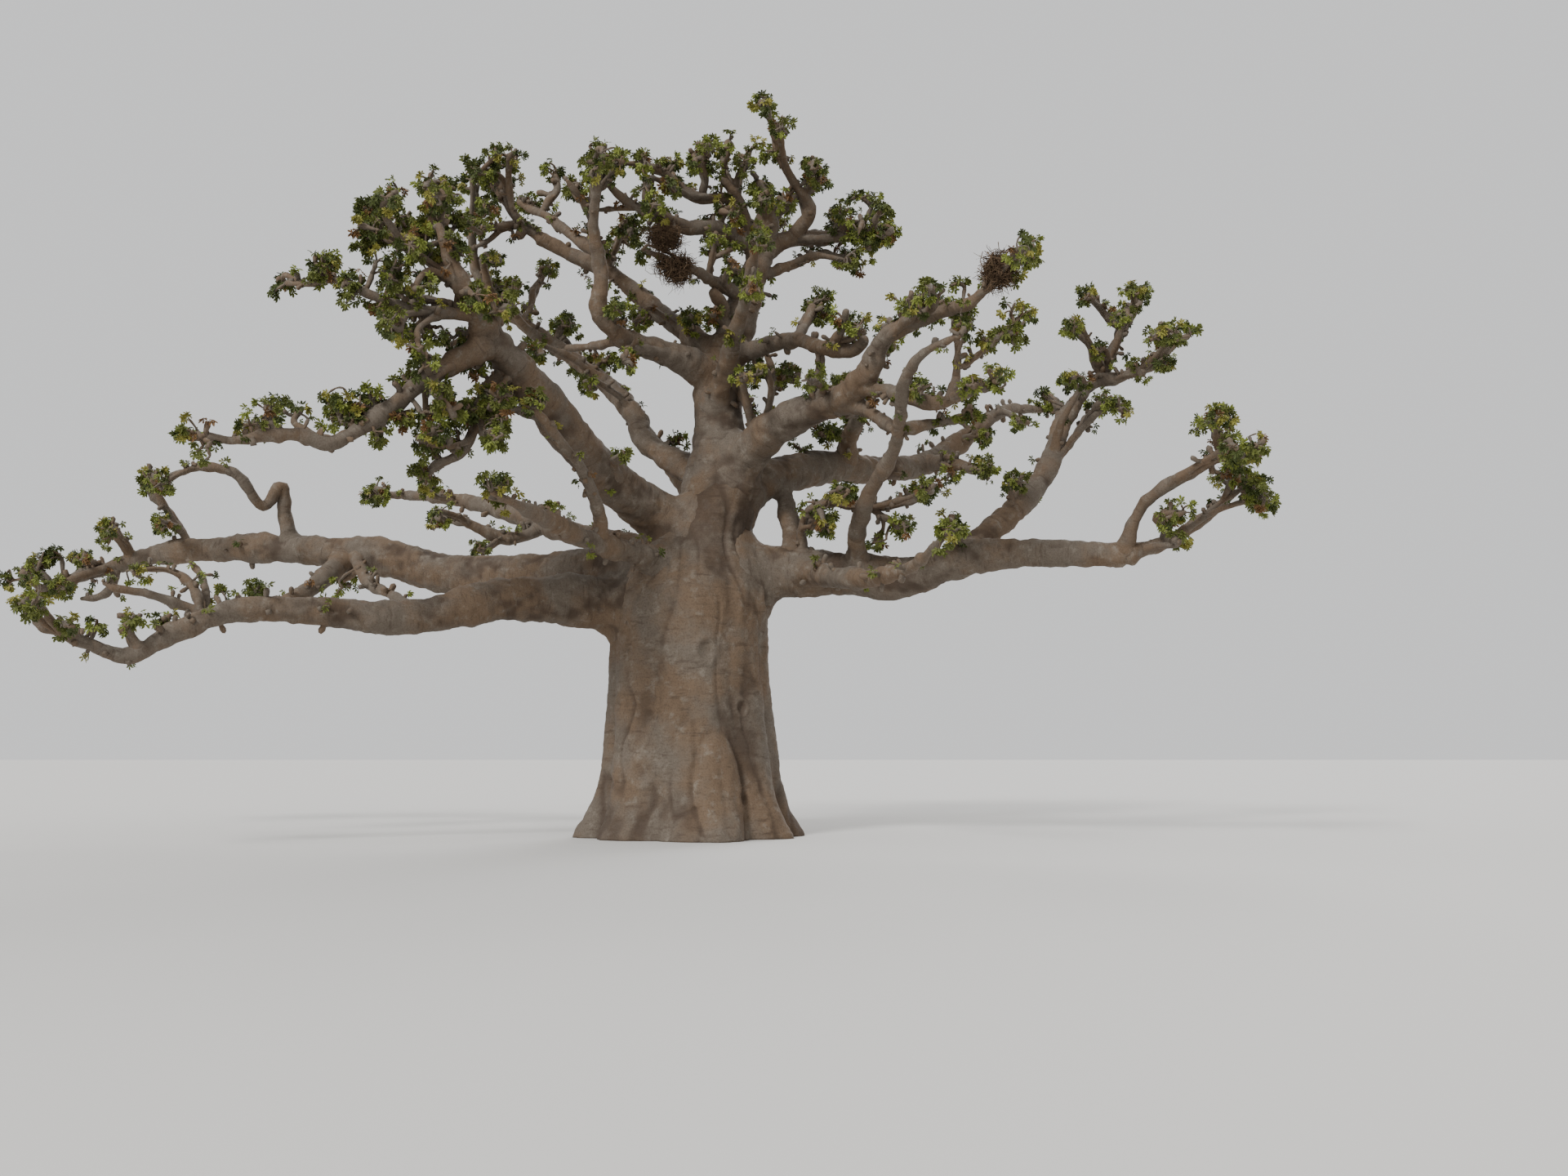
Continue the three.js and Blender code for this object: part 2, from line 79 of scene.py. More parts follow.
# What each kind of thing adds to the common seed.
SEED = 11
SEEDS = {
    "trunk": 1, "twigs": 10, "leaves": 20, "tangles": 30, "limbs": 100, "tufts": 1000, "spurs": 2000,
    "offshoots": 3000,
}

# The eye in front of the tree, and the camera in its place.
EYE_SIDE = 1.7
EYE_HEIGHT = 1.55
EYE_DISTANCE = 27.0
CAMERA_LENS = 33.75
CAMERA_SENSOR = 36.0
CAMERA_RISE = math.atan(0.11)

# Trunk: height, sideways lean of its axis and mean radius, from the ground to the fork.
TRUNK_PROFILE = [
    (0.0, 0.0, 1.98), (0.3, 0.0, 1.8), (0.8, -0.01, 1.63), (1.7, -0.02, 1.51),
    (2.8, -0.04, 1.43), (3.6, -0.03, 1.41), (4.3, 0.0, 1.42), (4.9, 0.08, 1.22),
    (5.4, 0.16, 0.98), (5.9, 0.36, 0.82), (6.3, 0.55, 0.72), (6.7, 0.58, 0.45),
]

# Flutes: number, depth at the ground as a share of the radius, and the height over which they fade.
# Then the depth of the folds above them, their drift round the trunk and their turn for each metre up.
FLUTES = 9
FLUTE_DEPTH = 0.1
FLUTE_HEIGHT = 0.9
FOLD_DEPTH = 0.02
FLUTE_DRIFT = 0.9
FLUTE_RISE = 0.15
# What rounds the flutes, keeps their hollows soft and sets their middle level.
FLUTE_ROUND = 0.35
FLUTE_SOFT = 0.01
FLUTE_LEVEL = 1.2
# The height within which the foot comes to stand upright, and the broad lobes that the flutes ride on.
FOOT_ROUND = 0.12
BROAD_LOBES = 5
BROAD_SHARE = 0.3

# The lobe at the trunk's foot: turn in degrees, height of its middle, half width, half height and lift.
FOOT_LOBE = (-68, 0.75, 0.46, 0.98, 0.11)
# The groove round it: depth as a share of the lift, distance from the middle and half width in its sizes.
FOOT_GROOVE = (0.35, 1.12, 0.1)

# The trunk's relief: strength and grain size of each layer, in metres. The bend sways the folds and
# creases along three shifted copies of the noise. The wrinkles are read elsewhere in it, and come and go.
TRUNK_BEND = (0.18, 0.9)
BEND_SHIFTS = (3, 17, 31)
TRUNK_FOLDS = (0.05, (0.5, 0.5, 1.9))
TRUNK_CREASES = (0.028, (0.42, 0.42, 1.7))
TRUNK_WRINKLES = (0.013, (0.8, 0.8, 0.17))
WRINKLE_SHIFT = 40
PATCH_SHIFT = 9
PATCH_SIZE = 0.8
TRUNK_GRAIN = (0.01, 0.11)
# How far from 0 the noise still counts as a crease, and the relief that counts as a full hollow for the
# bark's painted shade.
CREASE_WIDTH = 0.13
TRUNK_HOLLOW = 0.06

# Scars: least and most (turn, height, radius), stretch across and up, then lift and half width in radii
# of the rim and of the pit.
SCAR_RANGE = ((0, 0.7, 0.09), (2 * math.pi, 4.6, 0.2))
SCAR_STRETCH = (1.45, 0.8)
SCAR_RIM = (0.22, 0.33)
SCAR_PIT = (0.16, 0.6)

# The limbs' relief: strength in metres, the most it may be in radii, and grain size. The knots are read
# elsewhere in the noise, and the wrinkles drift a little with the place.
LIMB_WAVES = (0.05, 0.16, 0.55)
LIMB_KNOTS = (0.024, 0.13, 0.14)
LIMB_WRINKLES = (0.008, 0.05, (0.5, 0.5, 0.1))
KNOT_SHIFT = 5
WRINKLE_DRIFT = 0.3
# The relief that counts as a full hollow for the bark's painted shade.
LIMB_HOLLOW = 0.05
# Knuckles: lift in radii, spacing in metres, and a line through the noise where they are read.
KNUCKLE_LIFT = 0.3
KNUCKLE_SPACING = 0.3
KNUCKLE_LINE = 3.7

# Burrs and bulges: least and most width in metres, and lift in widths. They begin at a share of the
# length. Burrs stand lower on stout limbs and on very thin ones, and bulges only on very thin ones.
BURR_RANGE = ((0.06, 0.12), (0.3, 0.75))
BULGE_RANGE = ((0.14, 0.34), (0.12, 0.3))
BURR_START = 0.05
BURR_STOUT = 0.4
BURR_LEAST = 0.2
BURR_GROWTH = 6
BULGE_GROWTH = 4

# A limb's radius goes from the first to the last by this power of the share of its length. From
# TIP_START on, a limb whose tip is thinner than STOUT_TIP loses TIP_DROP of it more.
TAPER_POWER = 0.75
TIP_START = 0.8
TIP_DROP = 0.3
STOUT_TIP = 0.15

# Steps and least counts of the spines and grids. TINY and NUDGE keep directions from having no length,
# and DOME_TURNS are the turns of a limb's last rings.
SPINE_STEP = 0.08
PROFILE_STEP = 0.05
SPAN_SAMPLES = 32
FEWEST_STEPS = 4
TINY = 1e-9
NUDGE = 1e-6
FEWEST_SIDES = 8
MOST_SIDES = 64
FEWEST_RINGS = 6
SHORTEST_STEP = 0.8
DOME_TURNS = np.array([0.4, 0.8, 1.2])
# Below this radius a limb counts as thin: it has knuckles and spurs.
THIN_LIMB = 0.28

# The flare of a limb's foot: rounds of the search, and the length in radii over which it fades in. Then
# how deep it tucks under the parent's surface, more so past a share of its reach, and its least reach.
FLARE_STEPS = 12
FLARE_START = 1.3
FLARE_TUCK = 0.02
FLARE_SINK = 0.5
FLARE_REACH = 0.6
LEAST_FILLET = 0.03

# Every waypoint is (side, height, back): where the limb shows on the upright plane through the trunk
# for the eye in front, and how far behind that plane (+) it really lies.
# Each limb: its parent, where it leaves the parent, its radius at the start and tip, its waypoints.
LIMBS = {
    "centre_column": ("trunk", (0.55, 5.9), (0.66, 0.19), [
        (0.5, 7, 0), (0.46, 8, 0), (0.65, 9, 0.1), (0.97, 10, 0.2), (1.28, 10.95, 0.3),
        (1.4, 11.5, 0.3),
    ]),
    "left_low_bough": ("trunk", (-0.3, 4.1), (0.6, 0.1), [
        (-1.6, 4.22, -0.4), (-3.5, 4.28, -1.2), (-5.5, 3.95, -2), (-7, 4.1, -2.6),
        (-8.5, 4.1, -3.1), (-9.5, 3.7, -3.5), (-10.4, 3.28, -3.8), (-11.3, 3.57, -4.1),
        (-12.15, 3.95, -4.3),
    ]),
    "left_high_bough": ("trunk", (-0.2, 4.65), (0.62, 0.1), [
        (-1.6, 4.8, 0.4), (-3, 4.7, 0.8), (-4.5, 4.78, 1.2), (-5.7, 5.08, 1.5), (-7, 5.22, 1.8),
        (-8.6, 5.24, 2.1), (-10, 5.13, 2.3), (-10.9, 4.85, 2.4), (-11.85, 4.6, 2.5),
    ]),
    "right_low_bough": ("trunk", (0.2, 4.4), (0.6, 0.19), [
        (1.5, 4.8, -0.1), (3, 4.78, -0.5), (4, 4.73, -0.8), (5.2, 5.12, -1.1), (6.5, 5.16, -1.4),
        (8.1, 5.12, -1.8),
    ]),
    "left_great_bough": ("trunk", (0.1, 5.4), (0.47, 0.3), [
        (-0.8, 5.95, -0.5), (-1.4, 6.45, -1.1), (-2.28, 7.33, -2.1), (-3.2, 8.5, -3.2),
        (-3.95, 9.38, -4),
    ]),
    "right_great_bough": ("trunk", (0.6, 6.1), (0.48, 0.07), [
        (1.1, 7.1, -0.5), (1.75, 7.65, -1.2), (2.9, 8.15, -2.2), (3.3, 8.6, -2.8),
        (3.6, 9.25, -3.2), (4.5, 9.7, -3.7), (5.25, 9.97, -4.1), (6, 10.7, -4.5),
    ]),
    "right_middle_bough": ("trunk", (0.45, 5.8), (0.46, 0.06), [
        (1.5, 6.6, 0.7), (2.5, 6.77, 1.8), (3.5, 6.75, 2.9), (4.3, 6.85, 3.8), (5.15, 7.4, 4.7),
        (5.87, 7.87, 5.5), (6.9, 7.85, 6.3),
    ]),
    "back_bough": ("trunk", (0.1, 5.2), (0.45, 0.11), [
        (0, 5.6, 1.6), (0.15, 6.1, 3.2), (0.45, 6.9, 4.9), (0.6, 7.7, 6.2), (0.6, 8.6, 7.2),
    ]),
    "left_middle_bough": ("trunk", (0.1, 5), (0.32, 0.06), [
        (-0.9, 5.25, 1), (-2.1, 5.5, 2.3), (-3.1, 5.84, 3.6), (-4.2, 6.13, 4.8), (-5.3, 6.26, 5.9),
        (-6, 6.25, 6.5),
    ]),
    "left_front_bough": ("trunk", (0, 4.8), (0.3, 0.08), [
        (-1.2, 5.2, -1.6), (-2.1, 5.5, -3), (-2.9, 5.9, -4.3), (-3.75, 6.32, -5.5),
    ]),
    "right_front_bough": ("right_low_bough", (2, 4.85), (0.27, 0.07), [
        (2.7, 4.72, -1.8), (3.4, 4.72, -3.2), (4.1, 4.95, -4.5), (4.75, 5.55, -5.6),
    ]),
    "left_inner_bough": ("centre_column", (0.5, 6.45), (0.25, 0.07), [
        (-0.1, 6.72, 0.5), (-0.92, 7.33, 1), (-1.09, 7.75, 1.2), (-1.56, 8.3, 1.5),
        (-2.43, 8.98, 1.9), (-3.55, 9.8, 2), (-4.1, 10.5, 1.9), (-4.22, 11.4, 1.7),
        (-4.15, 12.1, 1.6),
    ]),
    "left_fork_limb": ("centre_column", (0.48, 8.5), (0.29, 0.07), [
        (-0.42, 8.92, -0.6), (-1.35, 9.28, -1.2), (-1.78, 9.75, -1.5), (-1.76, 10.5, -1.6),
        (-1.93, 11.5, -1.6), (-1.8, 12.5, -1.6),
    ]),
    "crossing_limb": ("centre_column", (0.58, 8.85), (0.23, 0.09), [
        (-0.2, 9.4, 0.6), (-0.88, 9.95, 1.1), (-1.55, 10.5, 1.4), (-2.6, 11.02, 1.6),
        (-3.36, 11.58, 1.5), (-3.7, 12.15, 1.4),
    ]),
    "top_left_limb": ("centre_column", (1.25, 10.85), (0.16, 0.08), [
        (0.5, 11.38, -0.3), (-0.3, 11.42, -0.8), (-0.85, 11.75, -1.2), (-0.95, 12.2, -1.4),
    ]),
    "top_middle_limb": ("centre_column", (1.2, 10.7), (0.17, 0.08), [
        (1, 11.4, 0.5), (0.85, 11.9, 0.5), (0.5, 12.4, 0.4),
    ]),
    "top_right_limb": ("centre_column", (1.25, 10.9), (0.2, 0.09), [
        (1.8, 11.18, 0.6), (2.5, 11.2, 1), (3.2, 11.3, 1.3),
    ]),
    "top_spire": ("top_right_limb", (1.85, 11.2), (0.13, 0.06), [
        (2.2, 11.75, 0.4), (1.88, 12.3, 0.2), (1.6, 12.9, 0), (1.48, 13.5, 0),
    ]),
    "right_centre_limb": ("centre_column", (0.62, 8.85), (0.18, 0.12), [
        (1.4, 9.12, -0.7), (1.95, 9.22, -1.3), (2.5, 9.08, -2), (2.8, 9.4, -2.4),
    ]),
    "left_arm": ("left_great_bough", (-3.85, 9.15), (0.24, 0.08), [
        (-4.95, 8.5, -4.5), (-5.85, 7.8, -4.9), (-6.8, 7.22, -5.25), (-7.35, 7.4, -5.45),
        (-8, 7.38, -5.75), (-8.6, 7.3, -5.9), (-9.1, 7.4, -6.1),
    ]),
    "left_up_limb": ("left_great_bough", (-3.85, 9.2), (0.25, 0.08), [
        (-4.12, 9.8, -4.3), (-4.45, 10.4, -4.6), (-4.7, 11, -4.75), (-4.88, 11.5, -4.8),
    ]),
    "left_out_limb": ("left_up_limb", (-4.2, 9.65), (0.14, 0.06), [
        (-5.2, 9.78, -4.7), (-5.9, 10, -4.9), (-6.6, 10.35, -5.1),
    ]),
    "left_crooked_limb": ("left_high_bough", (-7.3, 5.2), (0.14, 0.05), [
        (-7.55, 5.8, 1.8), (-7.68, 6.42, 1.65), (-7.97, 6.04, 1.5), (-8.52, 6.66, 1.1),
        (-9.25, 6.78, 0.9), (-9.85, 6.5, 0.8),
    ]),
    "right_reach_limb": ("right_great_bough", (3.1, 8.3), (0.15, 0.09), [
        (3.7, 8.2, -3.1), (4.6, 8, -3.8), (5.1, 8.2, -4.3), (5.75, 8.45, -4.8),
    ]),
    "front_rising_limb": ("right_low_bough", (3, 4.85), (0.19, 0.08), [
        (3.05, 5.45, -1.1), (3.23, 6.18, -1.9), (3.75, 7.08, -2.9), (3.87, 7.7, -3.6),
        (3.97, 8.45, -4.4), (4.26, 8.9, -4.8), (4.6, 9.13, -5.1), (5.02, 9.31, -5.4),
    ]),
    "right_prop_limb": ("right_low_bough", (1.95, 4.85), (0.2, 0.15), [
        (1.84, 5.5, 0.1), (1.76, 6, 0.4), (1.6, 6.6, 0.8),
    ]),
    "right_rising_bough": ("right_low_bough", (4.8, 4.98), (0.27, 0.12), [
        (5.54, 5.6, -0.6), (6.26, 6.23, 0), (6.68, 6.87, 0.5), (6.9, 7.6, 1), (7.38, 8.27, 1.5),
        (7.74, 8.58, 1.8),
    ]),
    "right_head_limb": ("right_rising_bough", (7.65, 8.5), (0.11, 0.05), [
        (7.86, 9, 1.9), (8.12, 9.5, 2.1), (8.3, 9.95, 2.2),
    ]),
    "right_side_limb": ("right_rising_bough", (7.5, 8.4), (0.12, 0.06), [
        (8.1, 8.53, 1.5), (8.7, 8.8, 1.2), (9.1, 9.2, 1),
    ]),
    "right_end_upper": ("right_low_bough", (7.95, 5.08), (0.14, 0.06), [
        (8.14, 5.6, -2), (8.38, 6.07, -2.2), (8.76, 6.39, -2.5), (9.28, 6.67, -2.7), (10, 7.03, -3),
    ]),
    "right_end_lower": ("right_low_bough", (7.95, 5.07), (0.15, 0.06), [
        (8.85, 5.41, -1.7), (9.5, 5.83, -1.6), (10.2, 6.37, -1.5),
    ]),
}

# Lesser limbs: parent, where they leave it, radius at the start and tip, how much further back the
# tip lies than the start, and waypoints (side, height).
SIDE_LIMBS = {
    "left_link": ("left_high_bough", (-6.4, 4.95), (0.2, 0.1), -2.6, [
        (-6.75, 4.72), (-7.2, 4.4), (-7.8, 4.1), (-8.5, 4.0), (-9.15, 4.08)]),
    "left_link_thin": ("left_high_bough", (-6.3, 4.9), (0.12, 0.08), -3.0, [
        (-5.95, 4.6), (-5.6, 4.42), (-5.2, 4.2)]),
    "left_fan_low": ("left_link", (-9.0, 4.07), (0.08, 0.05), -0.7, [
        (-9.6, 4.27), (-10.1, 4.42), (-10.6, 4.5), (-10.9, 4.62)]),
    "left_fan_middle": ("left_link", (-9.05, 4.07), (0.07, 0.045), 0.5, [
        (-9.15, 4.4), (-9.3, 4.63), (-9.6, 4.83), (-9.95, 4.87), (-10.3, 4.85)]),
    "left_fan_high": ("left_link", (-8.95, 4.05), (0.06, 0.04), 0.9, [
        (-9.02, 4.62), (-9.15, 4.85), (-9.35, 5.05)]),
    "left_tip_riser": ("left_high_bough", (-9.3, 5.25), (0.075, 0.045), 0.3, [
        (-9.5, 5.62), (-9.74, 5.95), (-9.97, 6.2), (-10.12, 6.4), (-10.15, 6.85)]),
    "left_riser_stub": ("left_tip_riser", (-9.5, 5.65), (0.08, 0.07), -0.3, [
        (-9.68, 5.72), (-9.88, 5.8)]),
    "left_tip_stub": ("left_high_bough", (-10.35, 5.05), (0.09, 0.06), -0.3, [
        (-10.5, 5.3), (-10.68, 5.5), (-10.75, 5.68)]),
    "left_tip_finger": ("left_high_bough", (-10.75, 4.93), (0.07, 0.05), 0.4, [
        (-11.1, 4.98), (-11.5, 5.02)]),
    "left_under_finger": ("left_high_bough", (-10.6, 4.8), (0.08, 0.05), -0.4, [
        (-10.75, 4.52), (-10.95, 4.36), (-11.3, 4.32)]),
    "left_low_hook": ("left_low_bough", (-10.2, 3.36), (0.09, 0.05), -0.3, [
        (-10.35, 3.75), (-10.25, 4.0)]),
    "left_low_knob": ("left_low_bough", (-9.75, 3.6), (0.07, 0.05), 0.2, [
        (-9.72, 3.85), (-9.6, 4.05)]),
    "left_middle_fork": ("left_middle_bough", (-2.7, 5.7), (0.13, 0.06), -0.6, [
        (-3.1, 5.5), (-3.6, 5.48), (-3.96, 5.63), (-4.32, 5.82), (-4.7, 5.9)]),
    "left_fork_strand": ("left_middle_fork", (-3.5, 5.47), (0.06, 0.04), -0.3, [
        (-3.7, 5.33), (-3.92, 5.2)]),
    "left_droop": ("left_great_bough", (-3.35, 8.65), (0.13, 0.06), -0.4, [
        (-3.75, 8.45), (-4.0, 7.95), (-4.1, 7.5), (-4.35, 7.05), (-4.85, 6.78), (-5.02, 6.55)]),
    "left_out_twig": ("left_out_limb", (-6.4, 10.25), (0.07, 0.04), 0.3, [
        (-6.8, 10.38), (-7.3, 10.3), (-7.72, 10.32)]),
    "left_up_branch": ("left_up_limb", (-4.65, 10.3), (0.13, 0.08), 0.9, [
        (-5.15, 10.85), (-5.6, 11.15), (-5.95, 11.35), (-6.15, 11.7)]),
    "left_crown_branch": ("left_up_limb", (-4.45, 10.15), (0.1, 0.06), 1.2, [
        (-4.55, 10.6), (-4.8, 11.15), (-4.87, 11.75), (-4.8, 12.2)]),
    "inner_up_twig": ("left_inner_bough", (-3.2, 9.55), (0.065, 0.04), 0.5, [
        (-3.08, 9.85), (-3.05, 10.15), (-2.9, 10.45)]),
    "crossing_up_twig": ("crossing_limb", (-1.6, 10.5), (0.07, 0.05), 0.4, [
        (-1.58, 10.8), (-1.4, 11.2)]),
    "crossing_left_twig": ("crossing_limb", (-3.3, 11.4), (0.08, 0.05), -0.4, [
        (-3.75, 11.42), (-4.2, 11.36)]),
    "fork_left_twig": ("left_fork_limb", (-1.3, 9.25), (0.09, 0.06), 1.2, [
        (-1.8, 9.12), (-2.4, 9.05)]),
    "fork_twin": ("left_fork_limb", (-1.83, 10.9), (0.1, 0.07), 0.8, [
        (-2.2, 11.15), (-2.55, 11.45), (-2.85, 11.65), (-3.1, 11.75), (-3.35, 11.95)]),
    "fork_top_twig": ("left_fork_limb", (-1.9, 11.6), (0.08, 0.05), -0.5, [
        (-2.15, 11.95), (-2.45, 12.35)]),
    "fork_right_twig": ("left_fork_limb", (-1.84, 12.2), (0.08, 0.05), 0.4, [
        (-1.62, 12.45), (-1.42, 12.75)]),
    "top_second_left": ("top_middle_limb", (0.88, 11.85), (0.1, 0.06), -0.9, [
        (0.6, 12), (0.17, 11.97), (-0.15, 12.08), (-0.42, 12.35), (-0.7, 12.55), (-1, 12.65),
        (-1.35, 12.68)]),
    "top_stub": ("centre_column", (1.37, 11.2), (0.2, 0.12), -0.4, [
        (1.36, 11.6), (1.35, 12), (1.2, 12.35)]),
    "tangle_limb": ("centre_column", (0.98, 10.05), (0.14, 0.09), -1.4, [
        (0.62, 10.23), (0.25, 10.43), (-0.1, 10.62)]),
    "tangle_prop": ("centre_column", (0.72, 9.3), (0.13, 0.1), -0.8, [
        (0.53, 9.6), (0.52, 9.9), (0.33, 10.2)]),
    "tangle_twig": ("tangle_limb", (0.25, 10.43), (0.07, 0.05), 0.4, [
        (0.33, 10.77), (0.38, 11.15)]),
    "column_right_twig": ("centre_column", (1.1, 10.35), (0.1, 0.06), 0.9, [
        (1.5, 10.55), (1.9, 10.7), (2.43, 10.9), (2.85, 10.8)]),
    "centre_finger_up": ("right_centre_limb", (2.75, 9.33), (0.09, 0.05), -0.3, [
        (2.84, 9.55), (2.88, 9.82)]),
    "centre_finger_side": ("right_centre_limb", (2.65, 9.2), (0.08, 0.05), 0.3, [
        (2.95, 9.25), (3.1, 9.52)]),
    "centre_riser": ("right_centre_limb", (1.9, 9.22), (0.1, 0.06), 0.4, [
        (2.1, 9.5), (2.25, 9.9)]),
    "right_inner_riser": ("right_middle_bough", (2.85, 6.77), (0.19, 0.13), -2.0, [
        (2.88, 7.15), (3.02, 7.55), (3.22, 7.95), (3.33, 8.4)]),
    "right_cross_bar": ("right_great_bough", (2.6, 8.0), (0.15, 0.1), -1.0, [
        (3.05, 7.95), (3.5, 7.7), (3.85, 7.42)]),
    "right_front_bar": ("front_rising_limb", (3.9, 7.45), (0.11, 0.07), 0.5, [
        (4.4, 7.6), (4.8, 7.66), (5.3, 7.85)]),
    "right_reach_riser": ("right_reach_limb", (4.8, 8.05), (0.09, 0.06), 0.5, [
        (4.92, 8.45), (4.96, 8.85), (4.97, 9.35)]),
    "right_reach_branch": ("right_reach_riser", (4.97, 8.66), (0.06, 0.045), 0.6, [
        (5.15, 8.75), (5.35, 8.95), (5.62, 9.12), (5.78, 9.35), (6.05, 9.52)]),
    "right_middle_fork": ("right_middle_bough", (4.3, 6.85), (0.16, 0.09), -0.8, [
        (4.7, 6.88), (5.07, 6.8), (5.42, 6.68)]),
    "right_rising_prong": ("right_rising_bough", (6.65, 6.75), (0.09, 0.05), 0.9, [
        (6.97, 7.13), (7.2, 7.45), (7.42, 7.75), (7.6, 7.95)]),
    "right_head_left": ("right_rising_bough", (7.72, 8.55), (0.1, 0.06), -0.4, [
        (7.52, 8.87), (7.45, 9.13), (7.15, 9.4)]),
    "right_head_fork": ("right_head_limb", (8.05, 9.4), (0.07, 0.05), -0.3, [
        (7.85, 9.6), (7.65, 9.85), (7.5, 10.05)]),
    "right_end_stub": ("right_end_upper", (9.85, 6.92), (0.09, 0.07), -0.2, [
        (9.84, 7.2), (9.77, 7.45), (9.75, 7.68)]),
    "right_end_knob": ("right_end_lower", (8.75, 5.4), (0.1, 0.07), -0.2, [
        (8.8, 5.6), (8.78, 5.78)]),
    "great_left_twig": ("right_great_bough", (1.15, 7.3), (0.11, 0.08), 0.3, [
        (1.08, 7.75), (0.95, 8.15), (0.86, 8.5)]),
    "great_thin_twig": ("right_great_bough", (1.3, 7.35), (0.07, 0.045), 0.9, [
        (1.43, 8.07), (1.52, 8.35), (1.48, 8.65), (1.35, 9.0)]),
    "right_arch": ("right_low_bough", (2.1, 4.9), (0.12, 0.05), -1.2, [
        (2.03, 5.5), (2.1, 5.86), (2.3, 6.05), (2.6, 6.12), (2.95, 6.07), (3.5, 6.04), (3.93, 6.12),
        (4.4, 6.22)]),
    "right_arch_strand": ("right_arch", (3.3, 6.12), (0.055, 0.04), -0.4, [
        (3.5, 5.88), (3.9, 5.63)]),
    "right_rising_knob": ("right_rising_bough", (5.85, 5.95), (0.11, 0.07), 0.4, [
        (5.95, 6.2), (6.0, 6.45)]),
    "right_low_stub": ("right_low_bough", (4.9, 5.1), (0.11, 0.06), 0.5, [
        (4.88, 5.45), (4.7, 5.72)]),
    "left_arch": ("left_up_limb", (-4.25, 9.75), (0.08, 0.045), 0.6, [
        (-4.95, 9.98), (-5.35, 10.07), (-5.6, 10.3), (-5.75, 10.55)]),
    "crossing_low_twig": ("crossing_limb", (-3.35, 11.45), (0.06, 0.045), -0.3, [
        (-3.7, 11.33), (-3.9, 11.15), (-4.15, 11.02)]),
    "crossing_knob": ("crossing_limb", (-3.25, 11.4), (0.11, 0.09), -0.15, [
        (-3.3, 11.3), (-3.35, 11.2)]),
    "fork_twin_riser": ("fork_twin", (-2.9, 11.67), (0.07, 0.05), 0.3, [
        (-2.8, 11.9), (-2.62, 12.12), (-2.65, 12.45)]),
    "fork_twin_twig": ("fork_twin_riser", (-2.72, 12.0), (0.05, 0.04), 0.2, [
        (-2.85, 12.07), (-3, 12.1)]),
    "top_left_reach": ("top_left_limb", (-0.4, 11.43), (0.1, 0.07), -0.5, [
        (-0.75, 11.62), (-1.15, 11.85), (-1.55, 12.15), (-1.75, 12.4)]),
    "top_left_tie": ("top_left_reach", (-1.1, 11.82), (0.055, 0.04), 0.2, [
        (-1.5, 11.77), (-1.88, 11.75)]),
    "top_riser_left": ("top_second_left", (0.17, 11.97), (0.08, 0.055), -0.4, [
        (0.2, 12.3), (0.15, 12.6), (0.2, 12.95)]),
    "top_riser_middle": ("top_middle_limb", (0.72, 12.1), (0.08, 0.055), 0.3, [
        (0.6, 12.45), (0.55, 12.75), (0.62, 13)]),
    "top_riser_right": ("top_middle_limb", (0.8, 12.0), (0.08, 0.055), 0.6, [
        (0.82, 12.35), (0.95, 12.65), (1.05, 12.9)]),
    "spire_prop": ("centre_column", (1.4, 11.4), (0.1, 0.07), 0.3, [
        (1.55, 11.7), (1.75, 11.88), (2.05, 12.05)]),
    "spire_right": ("top_spire", (2.05, 12.05), (0.08, 0.055), 0.4, [
        (2.22, 12.2), (2.33, 12.45), (2.3, 12.7)]),
    "tangle_twig_right": ("tangle_twig", (0.33, 10.8), (0.055, 0.04), 0.2, [
        (0.6, 10.92), (0.85, 11.1)]),
    "right_centre_link": ("right_centre_limb", (2.4, 9.1), (0.13, 0.1), -0.5, [
        (2.75, 9), (3.05, 9.03), (3.25, 9.3)]),
    "right_centre_drop": ("right_centre_limb", (2.35, 9.12), (0.09, 0.08), 0.1, [
        (2.38, 8.75), (2.28, 8.4), (2.22, 8.15)]),
    "great_side_twig": ("great_thin_twig", (1.47, 8.25), (0.06, 0.045), 0.3, [
        (1.7, 8.45), (1.92, 8.45), (2, 8.65)]),
    "back_left_limb": ("back_bough", (0.1, 6.0), (0.24, 0.08), 3.0, [
        (-0.3, 6.75), (-0.9, 7.4), (-1.45, 8.25), (-2.4, 8.95), (-3.3, 9.6)]),
    "back_right_limb": ("back_bough", (0.25, 6.3), (0.24, 0.08), 2.2, [
        (1.0, 7.0), (1.75, 7.65), (2.9, 8.2), (3.55, 9.1), (4.3, 9.65)]),
    "back_top_limb": ("back_bough", (0.5, 7.0), (0.2, 0.08), -0.6, [
        (0.5, 8.0), (0.68, 9.0), (0.97, 10.0), (1.25, 10.9), (1.5, 11.4)]),
    "front_top_limb": ("centre_column", (0.47, 7.7), (0.24, 0.08), -2.9, [
        (0.52, 8.3), (0.68, 9), (0.95, 9.9), (1.1, 10.7), (1.2, 11.1)]),
    "front_left_limb": ("left_front_bough", (-1.7, 5.4), (0.14, 0.06), -2.0, [
        (-1.75, 5.9), (-1.95, 6.5), (-2.4, 7.2), (-3.0, 7.9)]),
}

